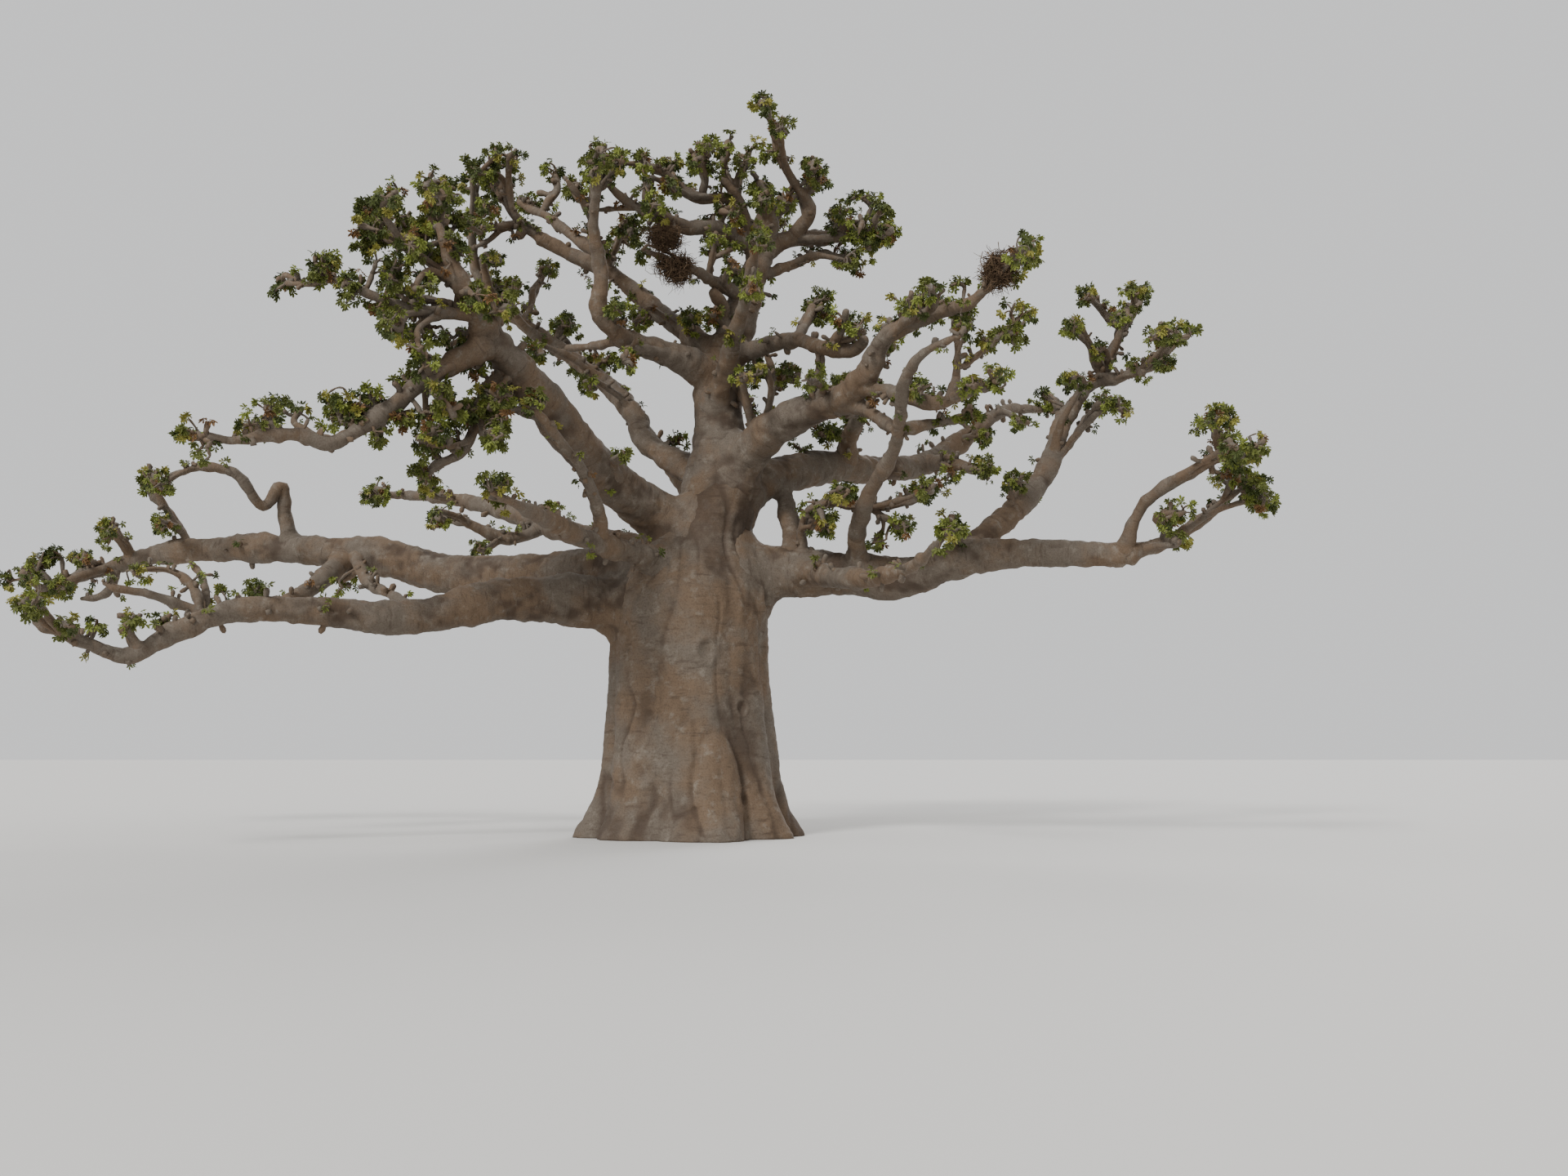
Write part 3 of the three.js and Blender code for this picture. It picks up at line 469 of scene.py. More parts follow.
# Tufts by the limb that carries them: their middle (side, height), half width and half height as seen.
TUFT_ROWS = [
    ("left_high_bough", [(-12.05, 5.02, 0.38, 0.28), (-12.6, 4.7, 0.28, 0.18), (-11.95, 4.5, 0.4, 0.12)]),
    ("left_low_bough", [(-12.05, 4.2, 0.28, 0.28), (-11.5, 3.8, 0.14, 0.12), (-11, 3.82, 0.25, 0.17)]),
    ("left_tip_finger", [(-11.3, 5.05, 0.22, 0.15)]),
    ("left_tip_stub", [(-10.78, 5.6, 0.22, 0.18)]),
    ("left_tip_riser", [(-10.15, 6.5, 0.2, 0.28)]),
    ("left_riser_stub", [(-9.85, 5.75, 0.18, 0.14)]),
    ("left_crooked_limb", [(-9.85, 6.45, 0.2, 0.16)]),
    ("left_low_hook", [(-10.28, 3.95, 0.2, 0.15)]),
    ("left_low_knob", [(-9.75, 4, 0.16, 0.15)]),
    ("left_fan_middle", [(-10.3, 4.8, 0.16, 0.1)]),
    ("left_link", [(-8.7, 4.42, 0.3, 0.14), (-8.1, 4.5, 0.33, 0.13)]),
    ("left_link_thin", [(-6.5, 4.6, 0.2, 0.12)]),
    ("left_arm", [(-9.4, 7.45, 0.3, 0.25), (-9.05, 7.12, 0.36, 0.2), (-8.35, 7.62, 0.2, 0.18),
        (-7.95, 7.85, 0.3, 0.3), (-7.4, 7.85, 0.1, 0.15), (-6.6, 7.85, 0.42, 0.32),
        (-6.75, 8.15, 0.14, 0.13), (-6.05, 8.05, 0.4, 0.32), (-6.3, 7.75, 0.5, 0.2),
        (-5.85, 7.37, 0.22, 0.17), (-5.4, 7.75, 0.4, 0.2), (-5.35, 8.5, 0.17, 0.15)]),
    ("left_great_bough", [(-3.75, 8.15, 0.42, 0.4)]),
    ("left_arm", [(-4.7, 8.1, 0.5, 0.36)]),
    ("left_droop", [(-4.2, 7.8, 0.45, 0.38), (-4.9, 7.35, 0.42, 0.36), (-5, 6.7, 0.3, 0.2),
        (-3.65, 7.35, 0.3, 0.24), (-4.45, 7.4, 0.22, 0.2)]),
    ("left_out_limb", [(-5.05, 9.35, 0.5, 0.28), (-5.65, 9.45, 0.36, 0.32)]),
    ("left_great_bough", [(-4.5, 9.25, 0.4, 0.22)]),
    ("left_out_limb", [(-5.25, 9.02, 0.25, 0.16), (-6.45, 10.3, 0.36, 0.28)]),
    ("left_out_twig", [(-7, 10.5, 0.36, 0.32), (-7.75, 10.3, 0.18, 0.18)]),
    ("left_out_limb", [(-6.45, 10, 0.25, 0.12)]),
    ("left_arch", [(-5.75, 10.5, 0.26, 0.2), (-5.25, 9.85, 0.2, 0.13)]),
    ("left_up_branch", [(-6.15, 11.75, 0.46, 0.34), (-6.1, 11.3, 0.4, 0.24), (-5.4, 11.05, 0.4, 0.2),
        (-5.5, 11.6, 0.2, 0.28)]),
    ("left_crown_branch", [(-4.88, 11.55, 0.38, 0.38), (-4.85, 12.1, 0.32, 0.3)]),
    ("left_up_limb", [(-5, 11, 0.3, 0.3), (-4.65, 10.8, 0.14, 0.33), (-5.2, 10.4, 0.18, 0.22)]),
    ("left_inner_bough", [(-4.35, 12.25, 0.28, 0.28), (-4.1, 11.85, 0.26, 0.28)]),
    ("crossing_limb", [(-3.8, 12.75, 0.3, 0.33), (-3.62, 12.2, 0.28, 0.28), (-3.45, 12.8, 0.14, 0.2)]),
    ("crossing_left_twig", [(-4.2, 11.45, 0.22, 0.17)]),
    ("left_inner_bough", [(-3.7, 10.3, 0.27, 0.25), (-3.8, 10.78, 0.22, 0.14)]),
    ("inner_up_twig", [(-2.85, 10.6, 0.3, 0.2)]),
    ("left_inner_bough", [(-2.4, 9.5, 0.4, 0.24), (-3, 9, 0.33, 0.2)]),
    ("fork_twin_riser", [(-2.65, 12.5, 0.24, 0.3)]),
    ("fork_twin", [(-3.15, 11.85, 0.24, 0.15)]),
    ("fork_top_twig", [(-2.25, 12.2, 0.24, 0.22)]),
    ("left_fork_limb", [(-1.92, 12.92, 0.25, 0.19), (-1.75, 12.5, 0.24, 0.2)]),
    ("fork_right_twig", [(-1.45, 12.75, 0.26, 0.2)]),
    ("top_second_left", [(-1, 12.7, 0.22, 0.16), (-0.45, 12.7, 0.24, 0.12), (-0.4, 12.25, 0.25, 0.2),
        (-0.9, 12.2, 0.2, 0.12)]),
    ("top_left_limb", [(-0.78, 11.75, 0.28, 0.2)]),
    ("top_riser_left", [(0.03, 12.75, 0.18, 0.22), (0.27, 12.55, 0.28, 0.24), (0.2, 13.02, 0.14, 0.12)]),
    ("top_riser_middle", [(0.6, 12.95, 0.18, 0.18)]),
    ("top_riser_right", [(1, 12.75, 0.18, 0.18), (1.15, 12.98, 0.2, 0.12)]),
    ("top_stub", [(1.3, 12.05, 0.24, 0.33), (1.15, 12.4, 0.12, 0.12)]),
    ("top_spire", [(1.33, 13.85, 0.26, 0.28), (1.64, 13.4, 0.14, 0.24), (1.45, 12.85, 0.28, 0.14)]),
    ("spire_right", [(2.25, 12.6, 0.25, 0.24), (2.42, 12.3, 0.15, 0.14)]),
    ("spire_prop", [(1.75, 11.85, 0.2, 0.16)]),
    ("top_right_limb", [(3.2, 11.95, 0.34, 0.26), (2.75, 11.65, 0.24, 0.24), (3.58, 11.65, 0.22, 0.27),
        (3.1, 11.35, 0.34, 0.24), (3.65, 11.3, 0.28, 0.24), (3.3, 11.02, 0.45, 0.1)]),
    ("column_right_twig", [(2.9, 10.77, 0.4, 0.14)]),
    ("top_middle_limb", [(0.75, 11.72, 0.36, 0.24), (0.25, 11.65, 0.25, 0.11)]),
    ("crossing_up_twig", [(-1.35, 11.25, 0.25, 0.28), (-1.65, 10.95, 0.14, 0.18),
        (-1.12, 11.55, 0.24, 0.17)]),
    ("left_fork_limb", [(-1.4, 9.85, 0.24, 0.2)]),
    ("crossing_limb", [(-1, 9.62, 0.33, 0.13), (-0.85, 10.1, 0.2, 0.12), (-0.1, 9.65, 0.24, 0.17)]),
    ("tangle_prop", [(0.35, 9.65, 0.12, 0.24)]),
    ("left_inner_bough", [(-1.75, 8.8, 0.45, 0.16)]),
    ("left_fork_limb", [(-1.25, 8.87, 0.33, 0.12)]),
    ("left_inner_bough", [(-1.95, 8.3, 0.2, 0.12), (-0.35, 7.3, 0.27, 0.24)]),
    ("left_great_bough", [(-1.3, 7, 0.2, 0.13)]),
    ("tangle_twig_right", [(0.8, 11.1, 0.2, 0.15)]),
    ("tangle_twig", [(0.4, 11.15, 0.16, 0.13)]),
    ("tangle_limb", [(0.72, 10.5, 0.16, 0.24), (-0.95, 10.95, 0.2, 0.16)]),
    ("centre_riser", [(2.35, 9.78, 0.34, 0.36), (2.5, 10.1, 0.14, 0.18)]),
    ("centre_finger_up", [(2.82, 9.6, 0.16, 0.28)]),
    ("centre_finger_side", [(3.1, 9.45, 0.14, 0.22)]),
    ("right_great_bough", [(4.05, 9.95, 0.24, 0.24), (3.7, 9.47, 0.28, 0.13), (4.45, 10.2, 0.22, 0.26),
        (5, 10.28, 0.3, 0.17), (4.9, 9.87, 0.33, 0.14)]),
    ("right_reach_riser", [(5.15, 9.65, 0.24, 0.26)]),
    ("right_great_bough", [(6.3, 11, 0.25, 0.32), (6.05, 10.5, 0.14, 0.18)]),
    ("right_reach_branch", [(6.15, 9.72, 0.27, 0.26), (5.98, 9.38, 0.3, 0.17), (5.6, 9.2, 0.24, 0.13)]),
    ("right_reach_limb", [(5.75, 8.48, 0.3, 0.2), (5.2, 8.33, 0.28, 0.18), (4.25, 8.3, 0.22, 0.12)]),
    ("right_head_left", [(7.05, 9.5, 0.3, 0.2)]),
    ("right_head_fork", [(7.45, 10.1, 0.17, 0.16)]),
    ("right_head_limb", [(8.3, 10.1, 0.3, 0.24), (8.07, 9.7, 0.18, 0.23), (7.72, 9.02, 0.2, 0.14)]),
    ("right_side_limb", [(8.95, 9.3, 0.37, 0.28), (8.85, 8.77, 0.22, 0.18), (8.4, 8.65, 0.2, 0.13),
        (9.35, 9.35, 0.19, 0.18)]),
    ("right_rising_bough", [(7.05, 8.45, 0.35, 0.2), (6.6, 8.17, 0.25, 0.11)]),
    ("right_rising_prong", [(7.62, 7.98, 0.3, 0.17), (7.98, 7.9, 0.22, 0.1)]),
    ("right_middle_bough", [(6.1, 7.65, 0.25, 0.14), (6.6, 7.95, 0.35, 0.14), (5.5, 7.32, 0.24, 0.14)]),
    ("right_front_bar", [(5.2, 7.85, 0.3, 0.18), (4.6, 7.6, 0.2, 0.11)]),
    ("right_middle_fork", [(5.4, 6.77, 0.28, 0.23), (4.8, 6.63, 0.34, 0.11)]),
    ("right_rising_knob", [(5.95, 6.5, 0.22, 0.24)]),
    ("right_rising_bough", [(6.3, 6.25, 0.14, 0.17)]),
    ("right_low_stub", [(4.75, 5.7, 0.32, 0.19)]),
    ("right_front_bough", [(4.85, 5.65, 0.28, 0.2)]),
    ("right_end_knob", [(8.85, 5.85, 0.26, 0.24)]),
    ("right_end_lower", [(9.05, 5.35, 0.14, 0.13)]),
    ("right_end_stub", [(9.84, 7.82, 0.38, 0.27), (9.5, 7.6, 0.16, 0.18)]),
    ("right_end_upper", [(10.1, 7.25, 0.3, 0.24), (10.5, 7.2, 0.25, 0.24)]),
    ("right_end_lower", [(10.38, 6.5, 0.46, 0.4), (10.68, 6.12, 0.26, 0.22), (9.9, 6.6, 0.22, 0.18)]),
    ("right_arch", [(2.4, 5.75, 0.34, 0.28), (2.85, 6.35, 0.4, 0.13), (4.4, 6.35, 0.45, 0.16)]),
    ("right_arch_strand", [(3.9, 5.65, 0.18, 0.13), (3.42, 5.37, 0.15, 0.12)]),
    ("great_left_twig", [(0.95, 8.5, 0.16, 0.14)]),
    ("great_thin_twig", [(1.15, 8.6, 0.24, 0.17)]),
    ("great_side_twig", [(1.75, 8.55, 0.24, 0.18)]),
    ("right_great_bough", [(2.3, 8.5, 0.24, 0.2)]),
    ("right_inner_riser", [(2.55, 7.45, 0.34, 0.23), (2.95, 7.75, 0.2, 0.14)]),
    ("right_middle_bough", [(2, 7.15, 0.2, 0.13)]),
    ("left_middle_bough", [(-5.95, 6.25, 0.26, 0.2)]),
    ("left_middle_fork", [(-4.72, 5.88, 0.22, 0.17)]),
    ("left_middle_bough", [(-4.9, 6.42, 0.28, 0.14)]),
    ("left_front_bough", [(-3.8, 6.45, 0.3, 0.2)]),
    ("left_middle_bough", [(-2.6, 5.95, 0.2, 0.13)]),
    ("left_fork_strand", [(-3.9, 5.22, 0.2, 0.13)]),
    ("back_bough", [(0.6, 8.75, 0.45, 0.38), (0.45, 7.6, 0.38, 0.3)]),
    ("back_left_limb", [(-3.3, 9.7, 0.45, 0.33), (-2, 8.7, 0.35, 0.22)]),
    ("back_right_limb", [(4.35, 9.8, 0.42, 0.3), (2.8, 8.4, 0.3, 0.24), (1.75, 7.75, 0.3, 0.2)]),
    ("back_top_limb", [(1.5, 11.5, 0.36, 0.28), (0.95, 9.9, 0.34, 0.3), (0.7, 8.8, 0.3, 0.3)]),
    ("front_top_limb", [(1.15, 11.15, 0.32, 0.28), (1, 10.2, 0.25, 0.25), (0.72, 9.3, 0.24, 0.24)]),
    ("front_left_limb", [(-3.1, 8.05, 0.4, 0.33)]),
    ("left_inner_bough", [(-4.2, 12.6, 0.24, 0.24)]),
    ("left_crown_branch", [(-4.5, 11.6, 0.18, 0.36)]),
    ("left_up_branch", [(-5.8, 11.98, 0.36, 0.2)]),
    ("left_crown_branch", [(-5.1, 12.25, 0.28, 0.18)]),
    ("left_inner_bough", [(-3.38, 10.3, 0.22, 0.18)]),
    ("left_up_limb", [(-4.1, 10.15, 0.26, 0.34)]),
    ("left_out_limb", [(-6, 10.75, 0.3, 0.16), (-5.6, 10.62, 0.3, 0.16)]),
    ("left_great_bough", [(-3.95, 7.75, 0.42, 0.2)]),
    ("left_high_bough", [(-11.75, 5.12, 0.28, 0.18), (-11.6, 4.56, 0.36, 0.14)]),
    ("left_arm", [(-5.1, 8.75, 0.34, 0.2), (-4.9, 7.75, 0.4, 0.24)]),
    ("left_out_limb", [(-5.9, 9.85, 0.28, 0.24)]),
    ("left_up_branch", [(-6.2, 11.05, 0.36, 0.16)]),
    ("left_up_limb", [(-4.5, 11.1, 0.2, 0.34)]),
    ("left_great_bough", [(-3.7, 9.75, 0.3, 0.24)]),
    ("crossing_limb", [(-3.9, 12.45, 0.3, 0.2)]),
    ("right_middle_bough", [(6.85, 7.95, 0.26, 0.2)]),
    ("back_top_limb", [(0.6, 8.3, 0.28, 0.26), (0.78, 9.35, 0.3, 0.3), (1.05, 10.4, 0.3, 0.3),
        (1.3, 11.05, 0.32, 0.3)]),
    ("back_left_limb", [(-2.7, 9.2, 0.3, 0.24)]),
    ("back_right_limb", [(3.6, 9.2, 0.32, 0.28)]),
    ("back_bough", [(0.55, 8.2, 0.4, 0.3)]),
    ("right_inner_riser", [(3.3, 8.3, 0.26, 0.22)]),
    ("right_end_upper", [(10.25, 6.95, 0.25, 0.2)]),
    ("right_side_limb", [(8.72, 9.3, 0.22, 0.2)]),
    ("left_out_twig", [(-6.95, 10.8, 0.28, 0.16)]),
    ("left_great_bough", [(-4.15, 8.75, 0.28, 0.16), (-3.6, 7.7, 0.3, 0.16)]),
    ("right_end_lower", [(10.1, 6.85, 0.26, 0.2)]),
    ("left_fork_limb", [(-2, 12.6, 0.24, 0.24)]),
    ("left_front_bough", [(-3.6, 6.42, 0.28, 0.22)]),
    ("right_front_bough", [(4.65, 5.55, 0.26, 0.2)]),
    ("left_high_bough", [(-12.2, 4.85, 0.32, 0.22)]),
    ("left_low_bough", [(-12.3, 4.3, 0.28, 0.24)]),
]
TUFTS = [(limb, *tuft) for limb, row in TUFT_ROWS for tuft in row]

# Tangles of dry twigs: the limb that carries them, their middle and half sizes as seen.
TANGLES = [
    ("tangle_limb", -0.55, 11.2, 0.4, 0.36), ("tangle_limb", -0.36, 10.62, 0.42, 0.36),
    ("right_great_bough", 5.8, 10.58, 0.36, 0.38),
]

# Random values of the noise, and how far apart its layers are read.
LATTICE_SIZE = 32
LATTICE = np.random.default_rng(SEED).random((LATTICE_SIZE,) * 3)
LAYER_SHIFT = 7.3

# Regions of the crown, told apart by how far to the side they show. Each has its own joined pieces.
REGION_EDGES = (-6.0, -3.4, 0.3, 3.0, 6.2)
REGIONS = ("left_end", "left", "left_middle", "right_middle", "right", "right_end")

# Offshoots fill the crown's depth before (-1) and behind (1) the tufts. Not all that could grow do.
OFFSHOOT = "offshoot"
OFFSHOOT_WAYS = (-1, 1)
OFFSHOOT_CHANCE = 0.68
# Their least and most reach into the depth, and the least that is left of it.
OFFSHOOT_SWING = (0.7, 2.4)
OFFSHOOT_LEAST = 0.7 * OFFSHOOT_SWING[0]
# How far before the tuft they leave its limb, in their reach. The limb's first eighth stays free.
OFFSHOOT_LEAD = (0.6, 1.1)
OFFSHOOT_FREE = 8
# The most depth: a factor of the run along the limb, and metres on top.
OFFSHOOT_SLOPE = (1.1, 0.45)
# At each of their four waypoints: the share of the depth, and the wander in the tuft's size.
OFFSHOOT_DEPTHS = np.array([0.25, 0.55, 0.8, 1]) ** 1.2
OFFSHOOT_WANDER = [[0.1], [0.35], [0.45], [0.3]]
# The most radius in radii of the limb, the radius at no length, its growth with length, and the tip's.
OFFSHOOT_THICK = (0.65, 0.035, 0.026, 0.036)
# How far inside the frame's box their tips stay.
BOX_MARGIN = 0.35
# Where they carry tufts, the size of these against the traced tuft, and their share of the spurs.
OFFSHOOT_STOPS = (0.7, 1.0)
OFFSHOOT_TUFT = 0.74
OFFSHOOT_SPURS = 0.4

# Tufts: their tips gather in lumps, whose middles keep off the tuft's skin and lie rather outside than in.
DEPTH_JITTER = 0.1
FEWEST_TIPS = 3
FEWEST_LUMPS = 2
TIPS_IN_LUMP = 5
LUMP_SIZE = 0.07
LUMP_INSET = 0.165
LUMP_LEAST = 0.03
LUMP_POWER = 0.4
# The share of the way back to the limb that counts when a tip picks its parent.
WAY_BACK = 0.35
# A twig's radius grows by this power of the tips that it carries, and is a little uneven.
PIPE_POWER = 0.42
PIPE_SPREAD = (0.85, 1.15)
# How much a twig's bend keeps the way it came, turns up and strays. Then its foot and end in its radius.
TWIG_LEAN = (0.45, 0.25, 0.3)
TWIG_ENDS = (1.1, 0.9)

# Spurs: pull upwards, share of their lean along the limb that is taken off, root in radii of the limb,
# least and most length, least and most radius in twig radii, bend in lengths, and foot in radii.
SPUR_RISE = 0.55
SPUR_SQUARE = 0.8
SPUR_ROOT = 0.5
SPUR_LENGTH = (0.02, 0.17)
SPUR_THICK = (1.5, 3.2)
SPUR_BEND = 0.25
SPUR_FOOT = 1.2
# A spray on a spur has at least this many leaves, and as many fewer than a full one at most. Its colour
# is dealt as for one this far out in a tuft, midway between the painted shade inside and the painted light
# outside. Then the share of a limb that is usually bare.
SPUR_LEAVES = 2
SPUR_OUTER = 0.5
SPUR_BARE = 0.1

# Twigs and straws as tubes: places of the rings, swell at each ring, and number of sides.
TWIG_TUBE = ((0.0, 0.4, 0.8, 1.0), (1.15, 0.92, 1.3, 1.0), 4)
STRAW_TUBE = ((0.0, 0.33, 0.66, 1.0), (1.0, 1.0, 0.9, 0.6), 3)
# Their unevenness, how far their ends stand out in radii, and a direction that sets where a ring starts.
TUBE_SPREAD = (0.88, 1.14)
TUBE_POINT = 0.6
TUBE_SIDE = np.array([0.31, 0.62, 0.11])

# Sprays in deep olive, olive, fresh, yellow-green and dry brown: their shares, and how those change
# from the middle of a tuft to its outside: more deep olive inside as painted shade, and more fresh and
# yellow-green outside as painted light.
LEAF_COLOURS = ("shade", "olive", "fresh", "yellow", "brown")
LEAF_SHARES = np.array([0.36, 0.36, 0.17, 0.06, 0.05])
LEAF_SHADED_INSIDE = np.array([1.2, 1, 0.7, 0.4, 1])
LEAF_LIT_OUTWARD = np.array([-1, 0, 1, 2, 0])

# A leaf: turn and size of its leaflets. A leaflet's outline is (share of its length, share of its half
# width), and its faces fan out from its foot.
LEAFLET_TURNS = np.radians([-112, -56, 0, 56, 112])
LEAFLET_SIZES = np.array([0.68, 0.9, 1.0, 0.9, 0.68])
LEAFLET_OUTLINE = np.array([(0, 0), (0.42, 0.8), (0.76, 0.9), (1, 0), (0.76, -0.9), (0.42, -0.8)])
STALK_HALF_WIDTH = 0.003
# Least and most of what differs from leaf to leaf.
STALK_LEAN = (0.35, 1.6)
STALK_SPREAD = (0.6, 1.3)
LEAF_DROOP = (0.2, 1.2)
LEAF_SPREAD = (0.75, 1.2)
LEAFLET_SAG = (0.1, 0.5)
# How far stalks, faces and leaflets stray from their aim, and how the sides of a leaflet rise.
STALK_STRAY = 0.1
FACE_STRAY = 0.8
LEAFLET_STRAY = 0.12
LEAFLET_RISE = 0.3

# Tangles: number of lumps. Then the spread of the lumps, of the straws in them and of the whole in its
# egg, how flat the straws lie, the share that hangs down, and how much those stray and drop.
TANGLE_LUMPS = 5
TANGLE_SPREAD = (0.45, 0.62, 0.8)
TANGLE_FLAT = np.array([1, 1, 0.45])
TANGLE_HANGING = 0.16
TANGLE_DROP = (0.35, 1.2)
# Straws: least and most length, bend in lengths, the shares of the length on both sides of the middle,
# least and most radius, and the last radius in the first.
STRAW_LENGTH = (0.5, 1.4)
STRAW_BEND = 0.3
STRAW_ENDS = (0.4, 0.6)
STRAW_THICK = (0.6, 1.5)
STRAW_TAPER = 0.7

# How fine the bark's patterns are on each kind of limb, and how its wrinkles are squeezed lengthways.
BARK_SCALES = {"trunk_bark": 1.0, "limb_bark": 1.25, "side_limb_bark": 1.8, "twig_bark": 3.0}
WRINKLE_SQUEEZE = (2.2, 2.2, 11)
# How far mottling turns the bark pale, and how far painted shade darkens deep wrinkles, hollows and grain.
PALE_SHARE = 0.65
PAINTED_SHADE_SHARES = (0.5, 0.75, 0.35)
# What wrinkles, mottling and grain add to the bark's bump, and its strength and depth in metres.
BUMP_SHARES = (0.5, 0.4, 0.12)
BUMP_STRENGTH = 0.8
BUMP_DEPTH = 0.045

# Lights: spread, rise above the horizon and turn round the tree from the front, in degrees.
KEY_LIGHT = (14, 38, -32)
RIM_LIGHT = (25, 30, 160)

# Limbs that stand bare for a share of their length from the parent on. Nothing grows there.
BARE_SHARES = {
    "left_low_bough": 0.3, "left_high_bough": 0.45, "right_low_bough": 0.97, "left_great_bough": 0.5,
    "right_great_bough": 0.3, "left_crooked_limb": 0.7, "right_end_upper": 0.75, "right_end_lower": 0.5,
    "right_rising_bough": 0.5, "front_rising_limb": 0.6, "left_arm": 0.2, "right_middle_bough": 0.3,
    "centre_column": 0.5, "left_tip_riser": 0.6, "right_prop_limb": 0.9, "left_inner_bough": 0.3,
    "right_rising_prong": 0.7, "right_reach_riser": 0.4,
}


# Places and paths


def seeded(kind, number=0):
    """The random numbers of one thing of its kind."""
    return np.random.default_rng(SEED + SEEDS[kind] + number)


def place(side, height, back):
    """Real place of what shows at (side, height): it slides along the line of sight to its distance back."""
    stretch = (EYE_DISTANCE + back) / EYE_DISTANCE
    x = EYE_SIDE + (side - EYE_SIDE) * stretch
    z = EYE_HEIGHT + (height - EYE_HEIGHT) * stretch
    return np.stack(np.broadcast_arrays(x, back, z), axis=-1).astype(float)


def seen(points):
    """(side, height) at which real places show on the upright plane through the trunk."""
    stretch = (EYE_DISTANCE + points[..., 1]) / EYE_DISTANCE
    side = EYE_SIDE + (points[..., 0] - EYE_SIDE) / stretch
    height = EYE_HEIGHT + (points[..., 2] - EYE_HEIGHT) / stretch
    return np.stack([side, height], axis=-1)


def unit(vectors):
    """The vectors at length 1."""
    return vectors / np.maximum(np.linalg.norm(vectors, axis=-1, keepdims=True), TINY)


def smooth_path(points, step):
    """A centripetal Catmull-Rom curve through the points, sampled at even steps along its length.

    Each span is a cubic between two points. Its end slopes weigh the neighbouring chords by the square
    roots of their lengths.
    """
    ends = np.vstack([2 * points[:1] - points[1:2], points, 2 * points[-1:] - points[-2:-1]])
    gap = np.sqrt(np.linalg.norm(np.diff(ends, axis=0), axis=1))[:, None]
    before, start, end, after = ends[:-3], ends[1:-2], ends[2:-1], ends[3:]
    first, middle, last = gap[:-2], gap[1:-1], gap[2:]
    leave = (start - before) / first - (end - before) / (first + middle) + (end - start) / middle
    arrive = (end - start) / middle - (after - start) / (middle + last) + (after - end) / last
    leave, arrive = leave * middle, arrive * middle
    t = np.linspace(0, 1, SPAN_SAMPLES, endpoint=False)[None, :, None]
    square = -3 * start + 3 * end - 2 * leave - arrive
    cube = 2 * start - 2 * end + leave + arrive
    curve = start[:, None] + t * leave[:, None] + t**2 * square[:, None] + t**3 * cube[:, None]
    curve = np.vstack([curve.reshape(-1, points.shape[1]), points[-1:]])
    run = np.concatenate([[0], np.cumsum(np.linalg.norm(np.diff(curve, axis=0), axis=1))])
    even = np.linspace(0, run[-1], max(FEWEST_STEPS, math.ceil(run[-1] / step)) + 1)
    return np.stack([np.interp(even, run, axis) for axis in curve.T], axis=-1)


def eased(value):
    """0 below 0, 1 above 1, and a rise between them that starts and ends level."""
    value = np.clip(value, 0, 1)
    return value * value * (3 - 2 * value)


def bell(value):
    """1 at 0, falling towards 0 on both sides: e to the power of minus the square."""
    return np.exp(-(value**2))


def full_turn(count):
    """Evenly spaced angles round a circle."""
    return np.linspace(0, 2 * math.pi, count, endpoint=False)


def turn_from(start, angle):
    """How far each angle lies from the start, the short way round."""
    return np.angle(np.exp(1j * (angle - start)))


def noise(points, size):
    """Smooth noise from -1 to 1: the eight random lattice values round each point, eased between them."""
    scaled = points / size
    cell = np.floor(scaled).astype(int)
    share = scaled - cell
    ease = eased(share)
    total = np.zeros(points.shape[:-1])
    for corner in itertools.product((0, 1), repeat=3):
        weight = np.prod(np.where(corner, ease, 1 - ease), axis=-1)
        x, y, z = np.moveaxis((cell + corner) % LATTICE_SIZE, -1, 0)
        total += weight * LATTICE[x, y, z]
    return 2 * total - 1


def rough(points, size, octaves=3):
    """Noise plus noise of half the size and half the strength, and so on."""
    size = np.asarray(size, float)
    return sum(noise(points + LAYER_SHIFT * n, size / 2**n) / 2**n for n in range(octaves))


def creases(points, size):
    """Thin valleys where noise changes sign: 0 on most of the surface, down to -1 in a crease."""
    return -bell(noise(points, size) / CREASE_WIDTH)


# The tree's limbs


class Limb:
    """A limb's spine as even samples, and its radius at each."""

    def __init__(self, waypoints, start_radius, tip_radius):
        self.spine = smooth_path(waypoints, SPINE_STEP)
        share = np.linspace(0, 1, len(self.spine))
        stretch = (EYE_DISTANCE + self.spine[:, 1]) / EYE_DISTANCE
        taper = start_radius + (tip_radius - start_radius) * share**TAPER_POWER
        if tip_radius < STOUT_TIP:
            taper = taper * (1 - TIP_DROP * eased((share - TIP_START) / (1 - TIP_START)))
        self.radius = taper * stretch
        self.length = np.linalg.norm(np.diff(self.spine, axis=0), axis=1).sum()

    def nearest_seen(self, at):
        """The point of the spine that shows nearest to (side, height)."""
        return self.spine[np.argmin(np.linalg.norm(seen(self.spine) - at, axis=1))]

    def at(self, share):
        """Places and radii at shares of the length."""
        along = np.linspace(0, 1, len(self.spine))
        spot = np.stack([np.interp(share, along, axis) for axis in self.spine.T], axis=-1)
        return spot, np.interp(share, along, self.radius)

    def gap(self, points):
        """Distance from each point to the limb's round surface, negative inside it.

        It is the distance to the nearest stretch of the spine, less the radius there.
        """
        foot = self.spine[:-1]
        step = np.diff(self.spine, axis=0)
        square = np.sum(step * step, axis=1)
        away = np.sum(points**2, axis=1)[:, None] + np.sum(foot**2, axis=1) - 2 * points @ foot.T
        along = points @ step.T - np.sum(foot * step, axis=1)
        share = np.clip(along / square, 0, 1)
        distance = np.sqrt(np.maximum(away - 2 * share * along + share**2 * square, 0))
        return (distance - self.radius[:-1] - share * np.diff(self.radius)).min(axis=1)


